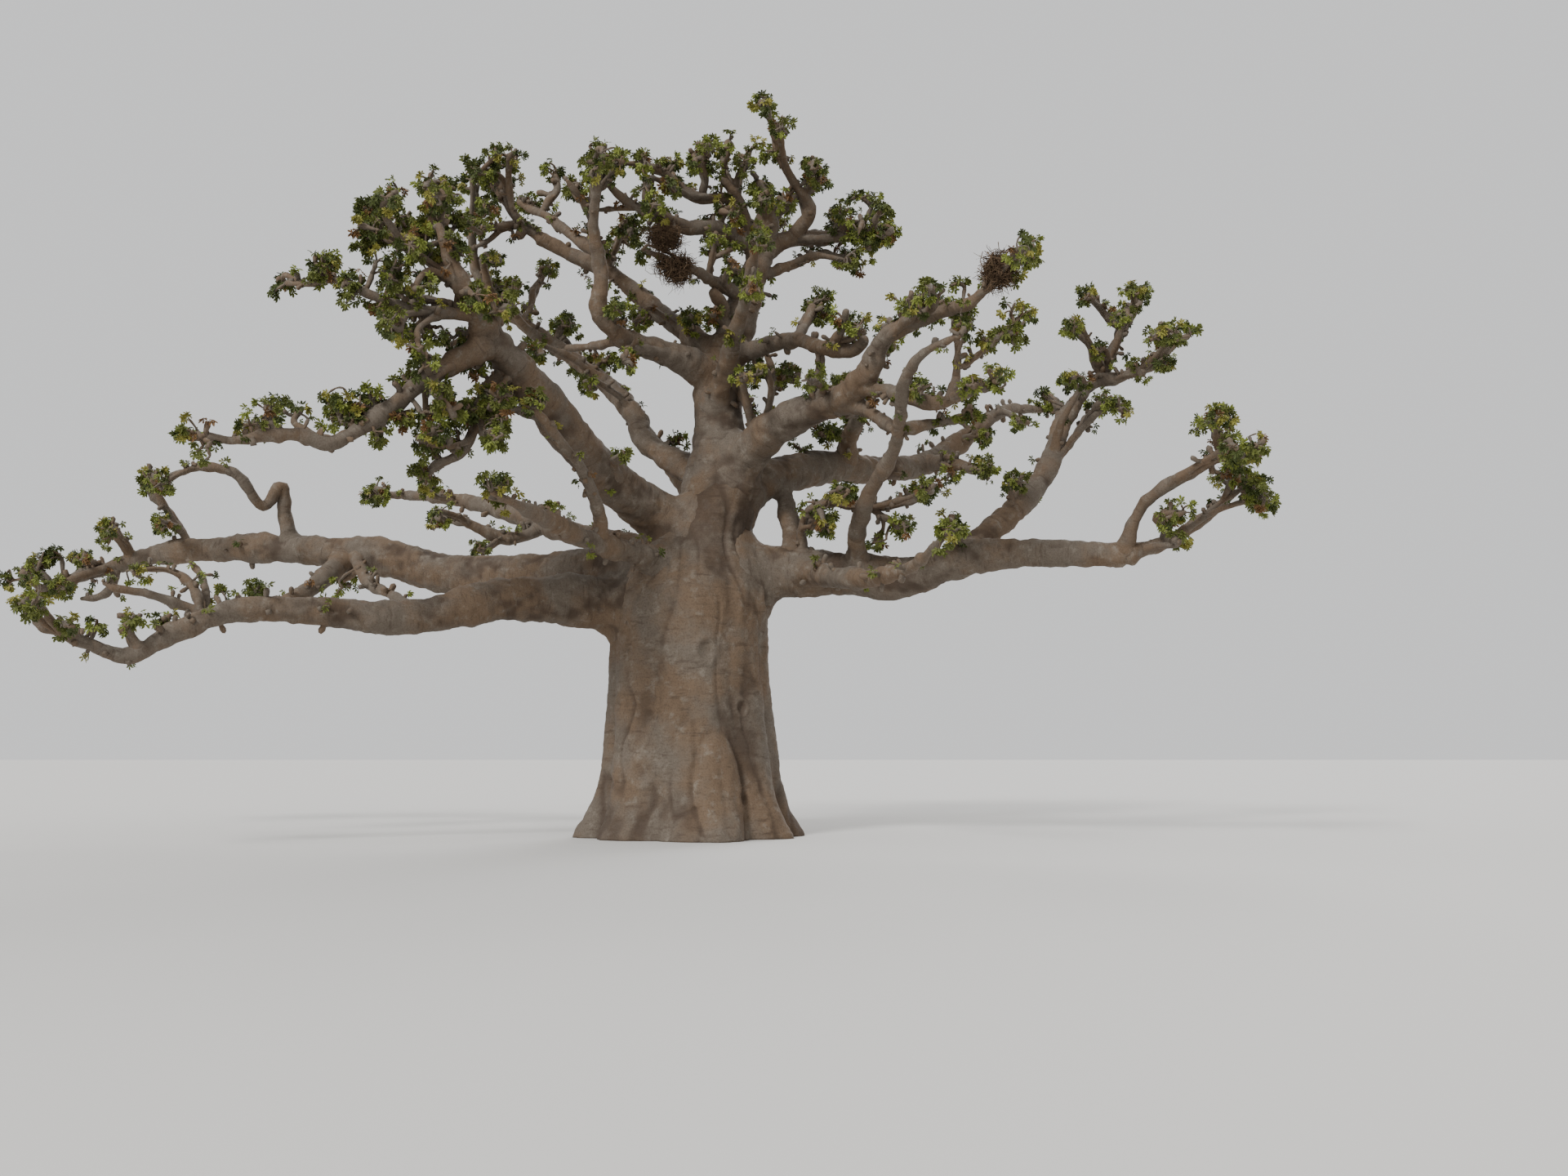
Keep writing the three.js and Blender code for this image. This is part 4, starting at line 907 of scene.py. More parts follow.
@functools.lru_cache(maxsize=None)
def trunk_profile():
    """Heights, leans and mean radii of the trunk on a smooth curve through its profile."""
    curve = smooth_path(np.array(TRUNK_PROFILE), PROFILE_STEP)
    return curve[:, 0], curve[:, 1], curve[:, 2]


def trunk_shape(angle, height):
    """Lean and reach of the trunk's surface: its mean radius times 1 plus the flutes.

    The flutes are nine round lobes with narrow hollows between, a power of the size of a cosine, that
    drift a little, and a wave of five broad lobes. They are deep at the ground, fade upwards, and leave
    shallow folds above. The foot stands upright at the ground.
    """
    heights, leans, radii = trunk_profile()
    lean = np.interp(height, heights, leans)
    height = np.hypot(height, FOOT_ROUND)
    turn = FLUTES / 2 * angle + FLUTE_DRIFT * np.sin(2 * angle) + FLUTE_RISE * height
    lobe = (np.cos(turn) ** 2 + FLUTE_SOFT) ** FLUTE_ROUND
    wave = 2 * lobe - FLUTE_LEVEL + BROAD_SHARE * np.cos(BROAD_LOBES * angle + 1)
    depth = FLUTE_DEPTH * np.exp(-np.maximum(height, 0) / FLUTE_HEIGHT) + FOLD_DEPTH
    return lean, np.interp(height, heights, radii) * (1 + depth * wave)


def gap_to_trunk(points):
    """Distance from each point to the trunk's surface, negative inside it."""
    top = TRUNK_PROFILE[-1][0]
    lean, _ = trunk_shape(0.0, points[:, 2])
    across = points[:, 0] - lean
    reach = trunk_shape(np.arctan2(points[:, 1], across), points[:, 2])[1]
    beside = np.hypot(across, points[:, 1]) - reach
    above = points[:, 2] - top
    return np.where(above > 0, np.hypot(np.maximum(beside, 0), above), beside)


@functools.lru_cache(maxsize=None)
def limbs():
    """Every limb by name, each after its parent."""
    spine = np.array([(lean, 0.0, height) for height, lean, _ in TRUNK_PROFILE])
    made = {TRUNK: Limb(spine, TRUNK_PROFILE[0][2], TRUNK_PROFILE[-1][2])}
    for name, (parent, at, thick, way) in LIMBS.items():
        side, height, back = np.array(way, float).T
        route = np.vstack([made[parent].nearest_seen(at), place(side, height, back)])
        made[name] = Limb(route, *thick)
    for name, (parent, at, thick, swing, way) in SIDE_LIMBS.items():
        foot = made[parent].nearest_seen(at)
        flat = np.vstack([seen(foot), way])
        run = np.cumsum(np.linalg.norm(np.diff(flat, axis=0), axis=1))
        route = place(*flat[1:].T, foot[1] + swing * run / run[-1])
        made[name] = Limb(np.vstack([foot, route]), *thick)
    for n, (parent, side, height, *size) in enumerate(TUFTS):
        random = seeded("offshoots", n)
        for way in OFFSHOOT_WAYS:
            found = offshoot(random, made[parent], (side, height), min(size), way)
            if found:
                made[f"{OFFSHOOT}{way}_{n}"] = found
    return made


def offshoot(random, limb, at, size, way):
    """A limb into the depth before or behind a tuft, hidden by it from the eye in front, or nothing.

    It leaves the tuft's limb some way before the tuft. As seen, it follows that limb, passes midway
    between the limb's nearest point and the tuft, and ends in the tuft, with a seeded wander of part of
    the tuft's size. Its depth grows like the way to the power 1.2, and its end stays in the frame's box.
    """
    last = np.argmin(np.linalg.norm(seen(limb.spine) - at, axis=1))
    swing = random.uniform(*OFFSHOOT_SWING)
    lead = round(swing * random.uniform(*OFFSHOOT_LEAD) / SPINE_STEP)
    first = max(last - lead, len(limb.spine) // OFFSHOOT_FREE)
    run = (last - first) * SPINE_STEP
    slope, spare = OFFSHOOT_SLOPE
    swing = way * min(swing, slope * run + spare)
    wander = random.normal(size=(len(OFFSHOOT_WANDER), 2)) * size * OFFSHOOT_WANDER
    start = limb.spine[first]
    near = seen(limb.spine[last])
    flat = np.vstack([seen(limb.spine[(first + last) // 2]), (near + at) / 2, at, at]) + wander
    back = start[1] + (limb.spine[last, 1] - start[1] + swing) * OFFSHOOT_DEPTHS
    route = np.vstack([start, place(*flat.T, back)])
    low, high = np.array(CAD_BOX) + [[BOX_MARGIN], [-BOX_MARGIN]]
    outside = np.any(route[-1] < low) or np.any(route[-1] > high)
    if outside or abs(swing) < OFFSHOOT_LEAST or random.uniform() > OFFSHOOT_CHANCE:
        return None
    most, least, growth, tip = OFFSHOOT_THICK
    radius = min(most * limb.radius[first], least + growth * np.linalg.norm(route[-1] - start))
    return Limb(route, radius, min(radius, tip))


def earlier_near(name, reach):
    """The gap functions of the trunk and of limbs made before this one that come within reach of it."""
    limb = limbs()[name]
    found = [gap_to_trunk] if gap_to_trunk(limb.spine).min() < limb.radius[0] + reach else []
    for other, older in limbs().items():
        if other == name:
            return found
        if other != TRUNK and (older.gap(limb.spine) - limb.radius).min() < reach:
            found.append(older.gap)
    return found


def flare(points, outward, name, fillet):
    """How far each point moves outward to lie on the smooth union of this limb and earlier ones.

    The union is the smaller of the two gaps, less (fillet - their difference) squared over four fillets
    where they differ by less than the fillet. Each step goes as far outward as the union is deep. Past
    the fillet the flare sinks into the earlier limb.
    """
    others = earlier_near(name, fillet.max())
    moved = np.zeros(len(points))
    if not others:
        return moved
    near = np.min([gap(points) for gap in others], axis=0) < fillet
    spot, aim, reach = points[near], outward[near], fillet[near]
    shift = np.zeros(len(spot))
    for _ in range(FLARE_STEPS):
        now = spot + aim * shift[:, None]
        own = limbs()[name].gap(now)
        other = np.min([gap(now) for gap in others], axis=0) + FLARE_TUCK
        other = other + FLARE_SINK * np.clip(own - FLARE_REACH * reach, 0, None)
        blend = np.clip(reach - np.abs(own - other), 0, None)
        union = np.minimum(own, other) - blend**2 / (4 * reach)
        shift = np.clip(shift - union, 0, reach)
    moved[near] = shift
    return moved


# Meshes


def tube_faces(rings, sides, tubes=1):
    """Quads between rings and triangles to both poles, for tubes stored one after another.

    A tube's points are its rings in order, then the pole at its start and the pole at its end.
    """
    low = np.arange(rings - 1)[:, None] * sides
    turn = np.arange(sides)
    after = (turn + 1) % sides
    quads = np.stack([low + turn, low + after, low + after + sides, low + turn + sides], axis=-1)
    start = np.full(sides, rings * sides)
    last = (rings - 1) * sides
    caps = np.vstack([
        np.stack([start, after, turn], axis=-1),
        np.stack([start + 1, last + turn, last + after], axis=-1),
    ])
    offset = (np.arange(tubes) * (rings * sides + 2))[:, None, None]
    return (quads.reshape(-1, 4) + offset).reshape(-1, 4), (caps + offset).reshape(-1, 3)


def frames_along(spine):
    """Tangents and two normals along a path. The normals are carried along it without twist."""
    tangent = unit(np.gradient(spine, axis=0))
    normal = np.empty_like(tangent)
    side = np.cross(tangent[0], np.eye(3)[np.argmin(np.abs(tangent[0]))])
    for i, direction in enumerate(tangent):
        side = unit(side - direction * (side @ direction))
        normal[i] = side
    return tangent, normal, np.cross(tangent, normal)


def make_piece(name, points, faces, materials, replaced=(), dealt=None, values=None, smooth=True):
    """A mesh object from points and arrays of faces, riding on the tree, with its finish and attributes."""
    mesh = bpy.data.meshes.new(name)
    mesh.vertices.add(len(points))
    mesh.vertices.foreach_set("co", points.astype(np.float32).ravel())
    corners = np.concatenate([group.ravel() for group in faces]).astype(np.int32)
    sizes = np.concatenate([np.full(len(group), group.shape[1]) for group in faces])
    mesh.loops.add(len(corners))
    mesh.loops.foreach_set("vertex_index", corners)
    mesh.polygons.add(len(sizes))
    mesh.polygons.foreach_set("loop_start", (np.cumsum(sizes) - sizes).astype(np.int32))
    mesh.polygons.foreach_set("use_smooth", np.full(len(sizes), smooth))
    if dealt is not None:
        mesh.polygons.foreach_set("material_index", dealt.astype(np.int32))
    for key, value in (values or {}).items():
        kind, field = ("FLOAT", "value") if value.ndim == 1 else ("FLOAT_VECTOR", "vector")
        attribute = mesh.attributes.new(key, kind, "POINT")
        attribute.data.foreach_set(field, value.astype(np.float32).ravel())
    for material in materials:
        mesh.materials.append(material)
    mesh.update(calc_edges=True)
    piece = bpy.data.objects.new(name, mesh)
    bpy.context.scene.collection.objects.link(piece)
    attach(piece, BODY)
    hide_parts(*replaced)


def layer(values, pattern, points, *octaves):
    """One layer of relief: its strength times a pattern of its grain size."""
    strength, size = values
    return strength * pattern(points, size, *octaves)


def bark_tube(skin, poles, pattern, pattern_poles, relief):
    """A tube's points, faces and attributes: where the bark's pattern is read, and relief from -1 to 1."""
    points = np.vstack([skin.reshape(-1, 3), poles])
    along = np.vstack([pattern.reshape(-1, 3), pattern_poles])
    # The relief goes to the bark's shader, which paints shade into the hollows.
    hollow = np.concatenate([np.clip(relief, -1, 1).ravel(), [0, 0]])
    return points, tube_faces(*relief.shape), {"along_bark": along, "relief": hollow}


def trunk_surface(settings):
    """The trunk on a grid of angle and height: its fluted reach plus folds, scars and wrinkles.

    Returns points, faces and attributes. The relief adds long folds, drooping creases across them,
    round scars of lost limbs with a raised rim, a fine roughness, and a flat-topped egg-shaped lobe
    with a groove round it at the foot.
    """
    top = TRUNK_PROFILE[-1][0]
    rings = round(top / settings.trunk_grid)
    sides = round(2 * math.pi * TRUNK_PROFILE[3][2] / settings.trunk_grid)
    height, angle = np.meshgrid(np.linspace(0, top, rings), full_turn(sides), indexing="ij")
    lean, reach = trunk_shape(angle, height)
    out = np.stack([np.cos(angle), np.sin(angle), 0 * angle], axis=-1)
    axis = np.stack([lean, 0 * lean, height], axis=-1)
    skin = axis + out * reach[..., None]
    bend, size = TRUNK_BEND
    bent = skin + bend * np.stack([noise(skin + shift, size) for shift in BEND_SHIFTS], axis=-1)
    relief = layer(TRUNK_FOLDS, rough, bent, 2)
    relief += layer(TRUNK_CREASES, creases, bent)
    patches = 0.5 + 0.5 * noise(skin + PATCH_SHIFT, PATCH_SIZE)
    relief += layer(TRUNK_WRINKLES, creases, bent + WRINKLE_SHIFT) * patches
    relief += layer(TRUNK_GRAIN, rough, skin)
    random = seeded("trunk")
    for _ in range(settings.scars):
        turn, level, size = random.uniform(*SCAR_RANGE)
        across, up = SCAR_STRETCH
        away = np.hypot(turn_from(turn, angle) * across, (height - level) * up) / size
        rim = SCAR_RIM[0] * bell((away - 1) / SCAR_RIM[1])
        relief += size * (rim - SCAR_PIT[0] * bell(away / SCAR_PIT[1]))
    turn, level, wide, high, lift = FOOT_LOBE
    away = np.hypot(turn_from(math.radians(turn), angle) * reach / wide, (height - level) / high)
    depth, middle, width = FOOT_GROOVE
    relief += lift * np.exp(-(away**6)) - depth * lift * bell((away - middle) / width)
    skin = skin + out * relief[..., None]
    poles = np.array([(axis[0, 0, 0], 0, 0), (axis[-1, 0, 0], 0, top)])
    return bark_tube(skin, poles, skin, poles, relief / TRUNK_HOLLOW)


def burrs(random, limb, share, angle, radius, per_metre, widths, lifts):
    """Swellings of a limb's surface at seeded places: each is a bell over its own width."""
    count = round(limb.length * per_metre)
    spots = np.stack([random.uniform(BURR_START, 1, count), random.uniform(0, 2 * math.pi, count)])
    width = random.uniform(*widths, count)
    lift = random.uniform(*lifts, count) * width
    total = np.zeros(np.broadcast(share, angle).shape)
    for (where, turn), wide, high in zip(spots.T, width, lift):
        along = (share - where) * limb.length
        across = turn_from(turn, angle) * radius
        total = total + high * np.exp(-(along**2 + across**2) / wide**2)
    return total


def limb_layer(values, radius, pattern, points, *octaves):
    """One layer of relief, whose strength is no more than its share of the limb's radius."""
    strength, most, size = values
    return np.minimum(strength, most * radius) * pattern(points, size, *octaves)


def limb_surface(name, settings):
    """A limb on a grid of its length and angle: a tube that flares into earlier limbs, with relief.

    A ring lies round each place of the spine, and the last rings close to a dome. The surface swells
    in burrs and knuckles, waves gently, and is wrinkled across its length.
    """
    limb = limbs()[name]
    random = seeded("limbs", list(limbs()).index(name))
    grid = settings.limb_grid
    sides = int(np.clip(2 * math.pi * limb.radius[0] / grid, FEWEST_SIDES, MOST_SIDES))
    step = max(2 * math.pi * limb.radius.mean() / sides, SHORTEST_STEP * grid)
    cap = limb.radius[-1] / limb.length
    body = np.linspace(0, 1 - cap, max(FEWEST_RINGS, round(limb.length / step)))
    share = np.concatenate([body, 1 - cap * (1 - np.sin(DOME_TURNS))])
    closing = np.concatenate([np.ones(len(body)), np.cos(DOME_TURNS)])[:, None]
    spine, radius = limb.at(share)
    _, normal, binormal = frames_along(spine)
    angle = full_turn(sides)
    out = np.cos(angle)[:, None] * normal[:, None] + np.sin(angle)[:, None] * binormal[:, None]
    reach = np.broadcast_to(radius[:, None] * closing, out.shape[:2])
    round_skin = spine[:, None] + out * reach[..., None]
    fillet = np.repeat(np.clip(settings.fillet * radius, LEAST_FILLET, None), sides)
    moved = flare(round_skin.reshape(-1, 3), out.reshape(-1, 3), name, fillet).reshape(reach.shape)
    moved = moved * eased(share * limb.length / (FLARE_START * limb.radius[0]))[:, None]
    skin = round_skin + out * moved[..., None]
    thick = radius[:, None]
    run = (share * limb.length)[:, None]
    local = np.stack(np.broadcast_arrays(np.cos(angle) * thick, np.sin(angle) * thick, run), axis=-1)
    relief = limb_layer(LIMB_WAVES, thick, rough, skin, 2)
    relief = relief + limb_layer(LIMB_KNOTS, thick, rough, skin + KNOT_SHIFT, 2)
    relief = relief + limb_layer(LIMB_WRINKLES, thick, creases, local + skin * WRINKLE_DRIFT)
    thin = np.clip((THIN_LIMB - thick) / THIN_LIMB, 0, 1)
    # The knuckles are read from a line through the noise that the length of the limb's name picks.
    line = np.stack([run, 0 * run + KNUCKLE_LINE, 0 * run + len(name)], axis=-1)
    knuckle = noise(line, KNUCKLE_SPACING)
    relief = relief + KNUCKLE_LIFT * thin * thick * np.maximum(knuckle, 0)
    knobs = burrs(random, limb, share[:, None], angle, thick, settings.burrs, *BURR_RANGE)
    bulges = burrs(random, limb, share[:, None], angle, thick, settings.bulges, *BULGE_RANGE)
    held = (BURR_STOUT + BURR_STOUT * thin) * np.minimum(1, BURR_LEAST + BURR_GROWTH * thick)
    relief = relief + held * knobs
    relief = relief + np.minimum(1, BULGE_GROWTH * thick) * bulges
    skin = skin + out * (relief * closing)[..., None]
    poles = np.stack([limb.spine[0], limb.spine[-1]])
    return bark_tube(skin, poles, local, poles * 0, relief / LIMB_HOLLOW)


def joined(parts):
    """Several surfaces (points, (quads, triangles), attributes) as one."""
    start = np.cumsum([0] + [len(points) for points, _, _ in parts])
    points = np.vstack([part[0] for part in parts])
    faces = [np.vstack([part[1][n] + first for part, first in zip(parts, start)]) for n in (0, 1)]
    values = {key: np.concatenate([part[2][key] for part in parts]) for key in parts[0][2]}
    return points, faces, values


def region_of(side):
    """The region of the crown that shows at this distance to the side."""
    return REGIONS[int(np.searchsorted(REGION_EDGES, side))]


# Twigs and leaves grow on from the limbs


class Growth:
    """Twigs and leaf sprays of one region, collected as lists and handed out as arrays."""

    def __init__(self):
        self.twigs = []
        self.sprays = []

    def add_twig(self, start, bend, end, start_radius, end_radius):
        """A twig from start to end, pulled towards bend."""
        self.twigs.append((*start, *bend, *end, start_radius, end_radius))

    def add_spray(self, tip, direction, leaves, colour):
        """Leaves round a twig's tip, all of one colour."""
        self.sprays.append((*tip, *direction, leaves, colour))


def pick_colour(random, outer):
    """The spray's colour: one of the leaf colours, the paler ones more often on a tuft's outside as painted
    light and the deep olive more often inside as painted shade.
    """
    weights = LEAF_SHARES * (LEAF_SHADED_INSIDE + outer * LEAF_LIT_OUTWARD)
    return random.choice(len(weights), p=weights / weights.sum())


def grow_tuft(random, growth, limb, centre, half, settings):
    """Grows twigs from a limb into an egg-shaped space, and a spray of leaves at every tip.

    Tips are scattered round a few lumps in the egg and taken nearest the limb first. Each joins the grown
    point that is nearest, counting a share of the way back to the limb. A twig is thicker the more tips
    it carries.
    """
    foot = limb.spine[np.argmin(np.linalg.norm(limb.spine - centre, axis=1))]
    tips = max(FEWEST_TIPS, round(settings.tips * math.pi * half[0] * half[2]))
    lumps = max(FEWEST_LUMPS, round(tips / TIPS_IN_LUMP))
    scatter = unit(random.normal(size=(lumps, 3))) * random.uniform(size=(lumps, 1)) ** LUMP_POWER
    middles = centre + scatter * np.maximum(half - LUMP_INSET, LUMP_LEAST)
    spots = middles[random.integers(lumps, size=tips)] + LUMP_SIZE * random.normal(size=(tips, 3))
    spots = spots[np.argsort(np.linalg.norm(spots - foot, axis=1))]
    joints = [foot]
    parents = [0]
    walked = [0.0]
    for spot in spots:
        away = np.linalg.norm(np.array(joints) - spot, axis=1)
        parent = int(np.argmin(away + WAY_BACK * np.array(walked)))
        joints.append(spot)
        parents.append(parent)
        walked.append(walked[parent] + away[parent])
    load = np.ones(len(joints))
    for i in range(len(joints) - 1, 0, -1):
        load[parents[i]] += load[i]
    radius = settings.twig_radius * load**PIPE_POWER * random.uniform(*PIPE_SPREAD, len(joints))
    keep, rise, stray = TWIG_LEAN
    foot_share, end_share = TWIG_ENDS
    for i in range(1, len(joints)):
        start, end = joints[parents[i]], joints[i]
        chord = end - start
        length = np.linalg.norm(chord)
        before = unit(start - joints[parents[parents[i]]] + NUDGE)
        lean = keep * before + unit(chord) + rise * UP + stray * random.normal(size=3)
        bend = start + 0.5 * length * unit(lean)
        foot_radius = min(foot_share * radius[i], radius[parents[i]])
        growth.add_twig(start, bend, end, foot_radius, end_share * radius[i])
        bare = load[i] > 1 and random.uniform() > settings.inner_sprays
        if not bare:
            outer = np.linalg.norm((end - centre) / half)
            leaves = settings.leaves if load[i] == 1 else settings.leaves // 2
            growth.add_spray(end, unit(end - bend), leaves, pick_colour(random, min(outer, 1) ** 2))


def grow_spurs(random, growth, limb, bare, share, settings):
    """Short knobby spurs along the thin part of a limb past its bare share, most of them on its upper side.

    Some are in leaf. Share is the limb's share of the usual number of spurs.
    """
    along = np.linspace(0, 1, len(limb.spine))
    thin = np.flatnonzero((limb.radius < THIN_LIMB) & (along > bare))
    count = round(len(thin) * SPINE_STEP * settings.spurs * share)
    tangent = frames_along(limb.spine)[0]
    for _ in range(count):
        i = random.choice(thin)
        aim = random.normal(size=3) + SPUR_RISE * UP
        aim = unit(aim - tangent[i] * (aim @ tangent[i]) * SPUR_SQUARE)
        length = random.uniform(*SPUR_LENGTH)
        start = limb.spine[i]
        root = start + aim * limb.radius[i] * SPUR_ROOT
        end = start + aim * (limb.radius[i] + length)
        thick = settings.twig_radius * random.uniform(*SPUR_THICK)
        bend = (root + end) / 2 + SPUR_BEND * length * random.normal(size=3)
        growth.add_twig(root, bend, end, SPUR_FOOT * thick, thick)
        if random.uniform() < settings.leafy_spurs:
            leaves = random.integers(SPUR_LEAVES, settings.leaves - SPUR_LEAVES)
            growth.add_spray(end, aim, leaves, pick_colour(random, SPUR_OUTER))


@functools.lru_cache(maxsize=None)
def grown():
    """The twigs and sprays of each region, from every tuft and along every limb."""
    settings = bpy.context.scene.baobab_growth
    regions = {region: Growth() for region in REGIONS}
    for n, (parent, side, height, wide, high) in enumerate(TUFTS):
        random = seeded("tufts", n)
        limb = limbs()[parent]
        back = limb.nearest_seen((side, height))[1] + random.uniform(-DEPTH_JITTER, DEPTH_JITTER)
        spots = [(limb, place(side, height, back), 1)]
        for way in OFFSHOOT_WAYS:
            branch = limbs().get(f"{OFFSHOOT}{way}_{n}")
            if branch:
                spots += [(branch, spot, OFFSHOOT_TUFT) for spot in branch.at(OFFSHOOT_STOPS)[0]]
        for limb, centre, scale in spots:
            stretch = scale * (EYE_DISTANCE + centre[1]) / EYE_DISTANCE
            half = np.array([wide, (wide + high) / 2, high]) * stretch
            grow_tuft(random, regions[region_of(side)], limb, centre, half, settings)
    for n, (name, limb) in enumerate(limbs().items()):
        if name != TRUNK:
            region = region_of(seen(limb.spine[-1])[0])
            bare = BARE_SHARES.get(name, SPUR_BARE)
            share = OFFSHOOT_SPURS if name.startswith(OFFSHOOT) else 1
            grow_spurs(seeded("spurs", n), regions[region], limb, bare, share, settings)
    return regions


def bent_tubes(random, start, bend, end, start_radius, end_radius, tube):
    """Many small tubes at once, along curves that leave start towards bend and arrive at end.

    A place on the curve is the weighted mean (1-t)^2 start + 2t(1-t) bend + t^2 end. The radius runs
    evenly from the first to the last, times the swell of its ring and a little seeded unevenness.
    """
    shares, swell, sides = tube
    t = np.array(shares)[None, :, None]
    start, bend, end = start[:, None], bend[:, None], end[:, None]
    path = (1 - t) ** 2 * start + 2 * t * (1 - t) * bend + t**2 * end
    tangent = unit(2 * (1 - t) * (bend - start) + 2 * t * (end - bend) + TINY)
    chord = unit(end - start)
    side = unit(np.cross(chord, TUBE_SIDE - chord[..., ::-1]))
    normal = unit(side - tangent * np.sum(side * tangent, axis=-1, keepdims=True))
    binormal = np.cross(tangent, normal)
    radius = start_radius[:, None] + (end_radius - start_radius)[:, None] * t[..., 0]
    radius = radius * np.array(swell) * random.uniform(*TUBE_SPREAD, radius.shape)
    angle = full_turn(sides)[:, None]
    out = np.cos(angle) * normal[:, :, None] + np.sin(angle) * binormal[:, :, None]
    rings = path[:, :, None] + out * radius[:, :, None, None]
    tip = path[:, -1] + tangent[:, -1] * radius[:, -1:] * TUBE_POINT
    poles = np.stack([path[:, 0], tip], axis=1)
    tubes = len(path)
    points = np.concatenate([rings.reshape(tubes, -1, 3), poles], axis=1).reshape(-1, 3)
    return points, tube_faces(len(shares), sides, tubes)


def leaf_surface(random, tips, aims, settings):
    """Palmate leaves, one at each tip: a stalk, and five leaflets fanned round its end.

    A leaflet's point lies s along its own direction and h across it. It droops by the square of s, and
    its sides rise from the rib with the size of h. Returns points, and the faces of every leaf.
    """
    count = len(tips)
    spin = unit(np.cross(aims, random.normal(size=(count, 3))))
    lean = random.uniform(*STALK_LEAN, (count, 1))
    stalk_aim = unit(aims + lean * spin + STALK_STRAY * random.normal(size=(count, 3)))
    stalk = settings.stalk_length * random.uniform(*STALK_SPREAD, (count, 1))
    base = tips + stalk_aim * stalk
    forward = unit(stalk_aim - random.uniform(*LEAF_DROOP, (count, 1)) * UP)
    face = UP + FACE_STRAY * random.normal(size=(count, 3))
    face = unit(face - forward * np.sum(face * forward, axis=1, keepdims=True))
    across = np.cross(face, forward)
    size = settings.leaflet_length * random.uniform(*LEAF_SPREAD, count)[:, None, None, None]
    size = size * LEAFLET_SIZES[:, None, None]
    turn = LEAFLET_TURNS[:, None] + LEAFLET_STRAY * random.normal(size=(count, len(LEAFLET_TURNS), 1))
    ahead = np.cos(turn) * forward[:, None] + np.sin(turn) * across[:, None]
    beside = np.cross(face[:, None], ahead)
    s, h = LEAFLET_OUTLINE.T[:, None, None, :, None]
    wide = h * settings.leaflet_width / 2
    sag = random.uniform(*LEAFLET_SAG, (count, 1, 1, 1)) * s**2
    lift = LEAFLET_RISE * np.abs(wide) - sag
    leaflets = s * ahead[:, :, None] + wide * beside[:, :, None] + lift * face[:, None, None]
    leaflets = base[:, None, None] + size * leaflets
    edge = across * STALK_HALF_WIDTH
    stalks = np.stack([tips - edge, tips + edge, base + edge, base - edge], axis=1)
    points = np.concatenate([stalks, leaflets.reshape(count, -1, 3)], axis=1)
    around = np.arange(1, len(LEAFLET_OUTLINE) - 1)
    fan = np.stack([0 * around, around + 1, around], axis=-1)
    first = 4 + np.arange(len(LEAFLET_TURNS))[:, None, None] * len(LEAFLET_OUTLINE)
    triangles = np.vstack([[(0, 1, 2), (0, 2, 3)], (fan + first).reshape(-1, 3)])
    faces = triangles + (np.arange(count) * points.shape[1])[:, None, None]
    return points.reshape(-1, 3), faces


def twig_surface(random, growth):
    """All twigs of one region as bent tubes with a knuckle near the end."""
    rows = np.array(growth.twigs)
    start, bend, end = rows[:, 0:3], rows[:, 3:6], rows[:, 6:9]
    return bent_tubes(random, start, bend, end, rows[:, 9], rows[:, 10], TWIG_TUBE)


def tangle_surface(random, centre, half, settings):
    """A matted heap of dry straws: they lie every way in seeded lumps of one egg, and some hang down."""
    count = settings.straws
    lump_spread, straw_spread, size = TANGLE_SPREAD
    lumps = lump_spread * unit(random.normal(size=(TANGLE_LUMPS, 3)))
    offset = unit(random.normal(size=(count, 3))) * random.uniform(size=(count, 1)) ** 0.5
    offset = straw_spread * offset + lumps[random.integers(TANGLE_LUMPS, size=count)]
    aim = unit(random.normal(size=(count, 3)) * TANGLE_FLAT)
    hanging = random.uniform(size=count) < TANGLE_HANGING
    offset[hanging, 2] = -np.abs(offset[hanging, 2])
    stray, drop = TANGLE_DROP
    aim[hanging] = unit(stray * random.normal(size=(hanging.sum(), 3)) - drop * UP)
    length = settings.straw_length * random.uniform(*STRAW_LENGTH, (count, 1))
    middle = centre + offset * half * size
    start, end = middle - aim * length * STRAW_ENDS[0], middle + aim * length * STRAW_ENDS[1]
    bend = middle + STRAW_BEND * length * random.normal(size=(count, 3))
    thick = settings.straw_radius * random.uniform(*STRAW_THICK, count)
    return bent_tubes(random, start, bend, end, thick, STRAW_TAPER * thick, STRAW_TUBE)


# Materials


class Value:
    """A shader socket that takes part in Python arithmetic by adding Math nodes."""

    def __init__(self, shader, socket):
        self.shader = shader
        self.socket = socket

    def math(self, operation, first, second):
        """The result of a Math node on two numbers or sockets."""
        return self.shader.node("ShaderNodeMath", {"operation": operation}, {0: first, 1: second})

    def __add__(self, other):
        return self.math("ADD", self, other)

    def __radd__(self, other):
        return self.math("ADD", other, self)

    def __mul__(self, other):
        return self.math("MULTIPLY", self, other)

    def __rmul__(self, other):
        return self.math("MULTIPLY", other, self)

    def __rsub__(self, other):
        return self.math("SUBTRACT", other, self)


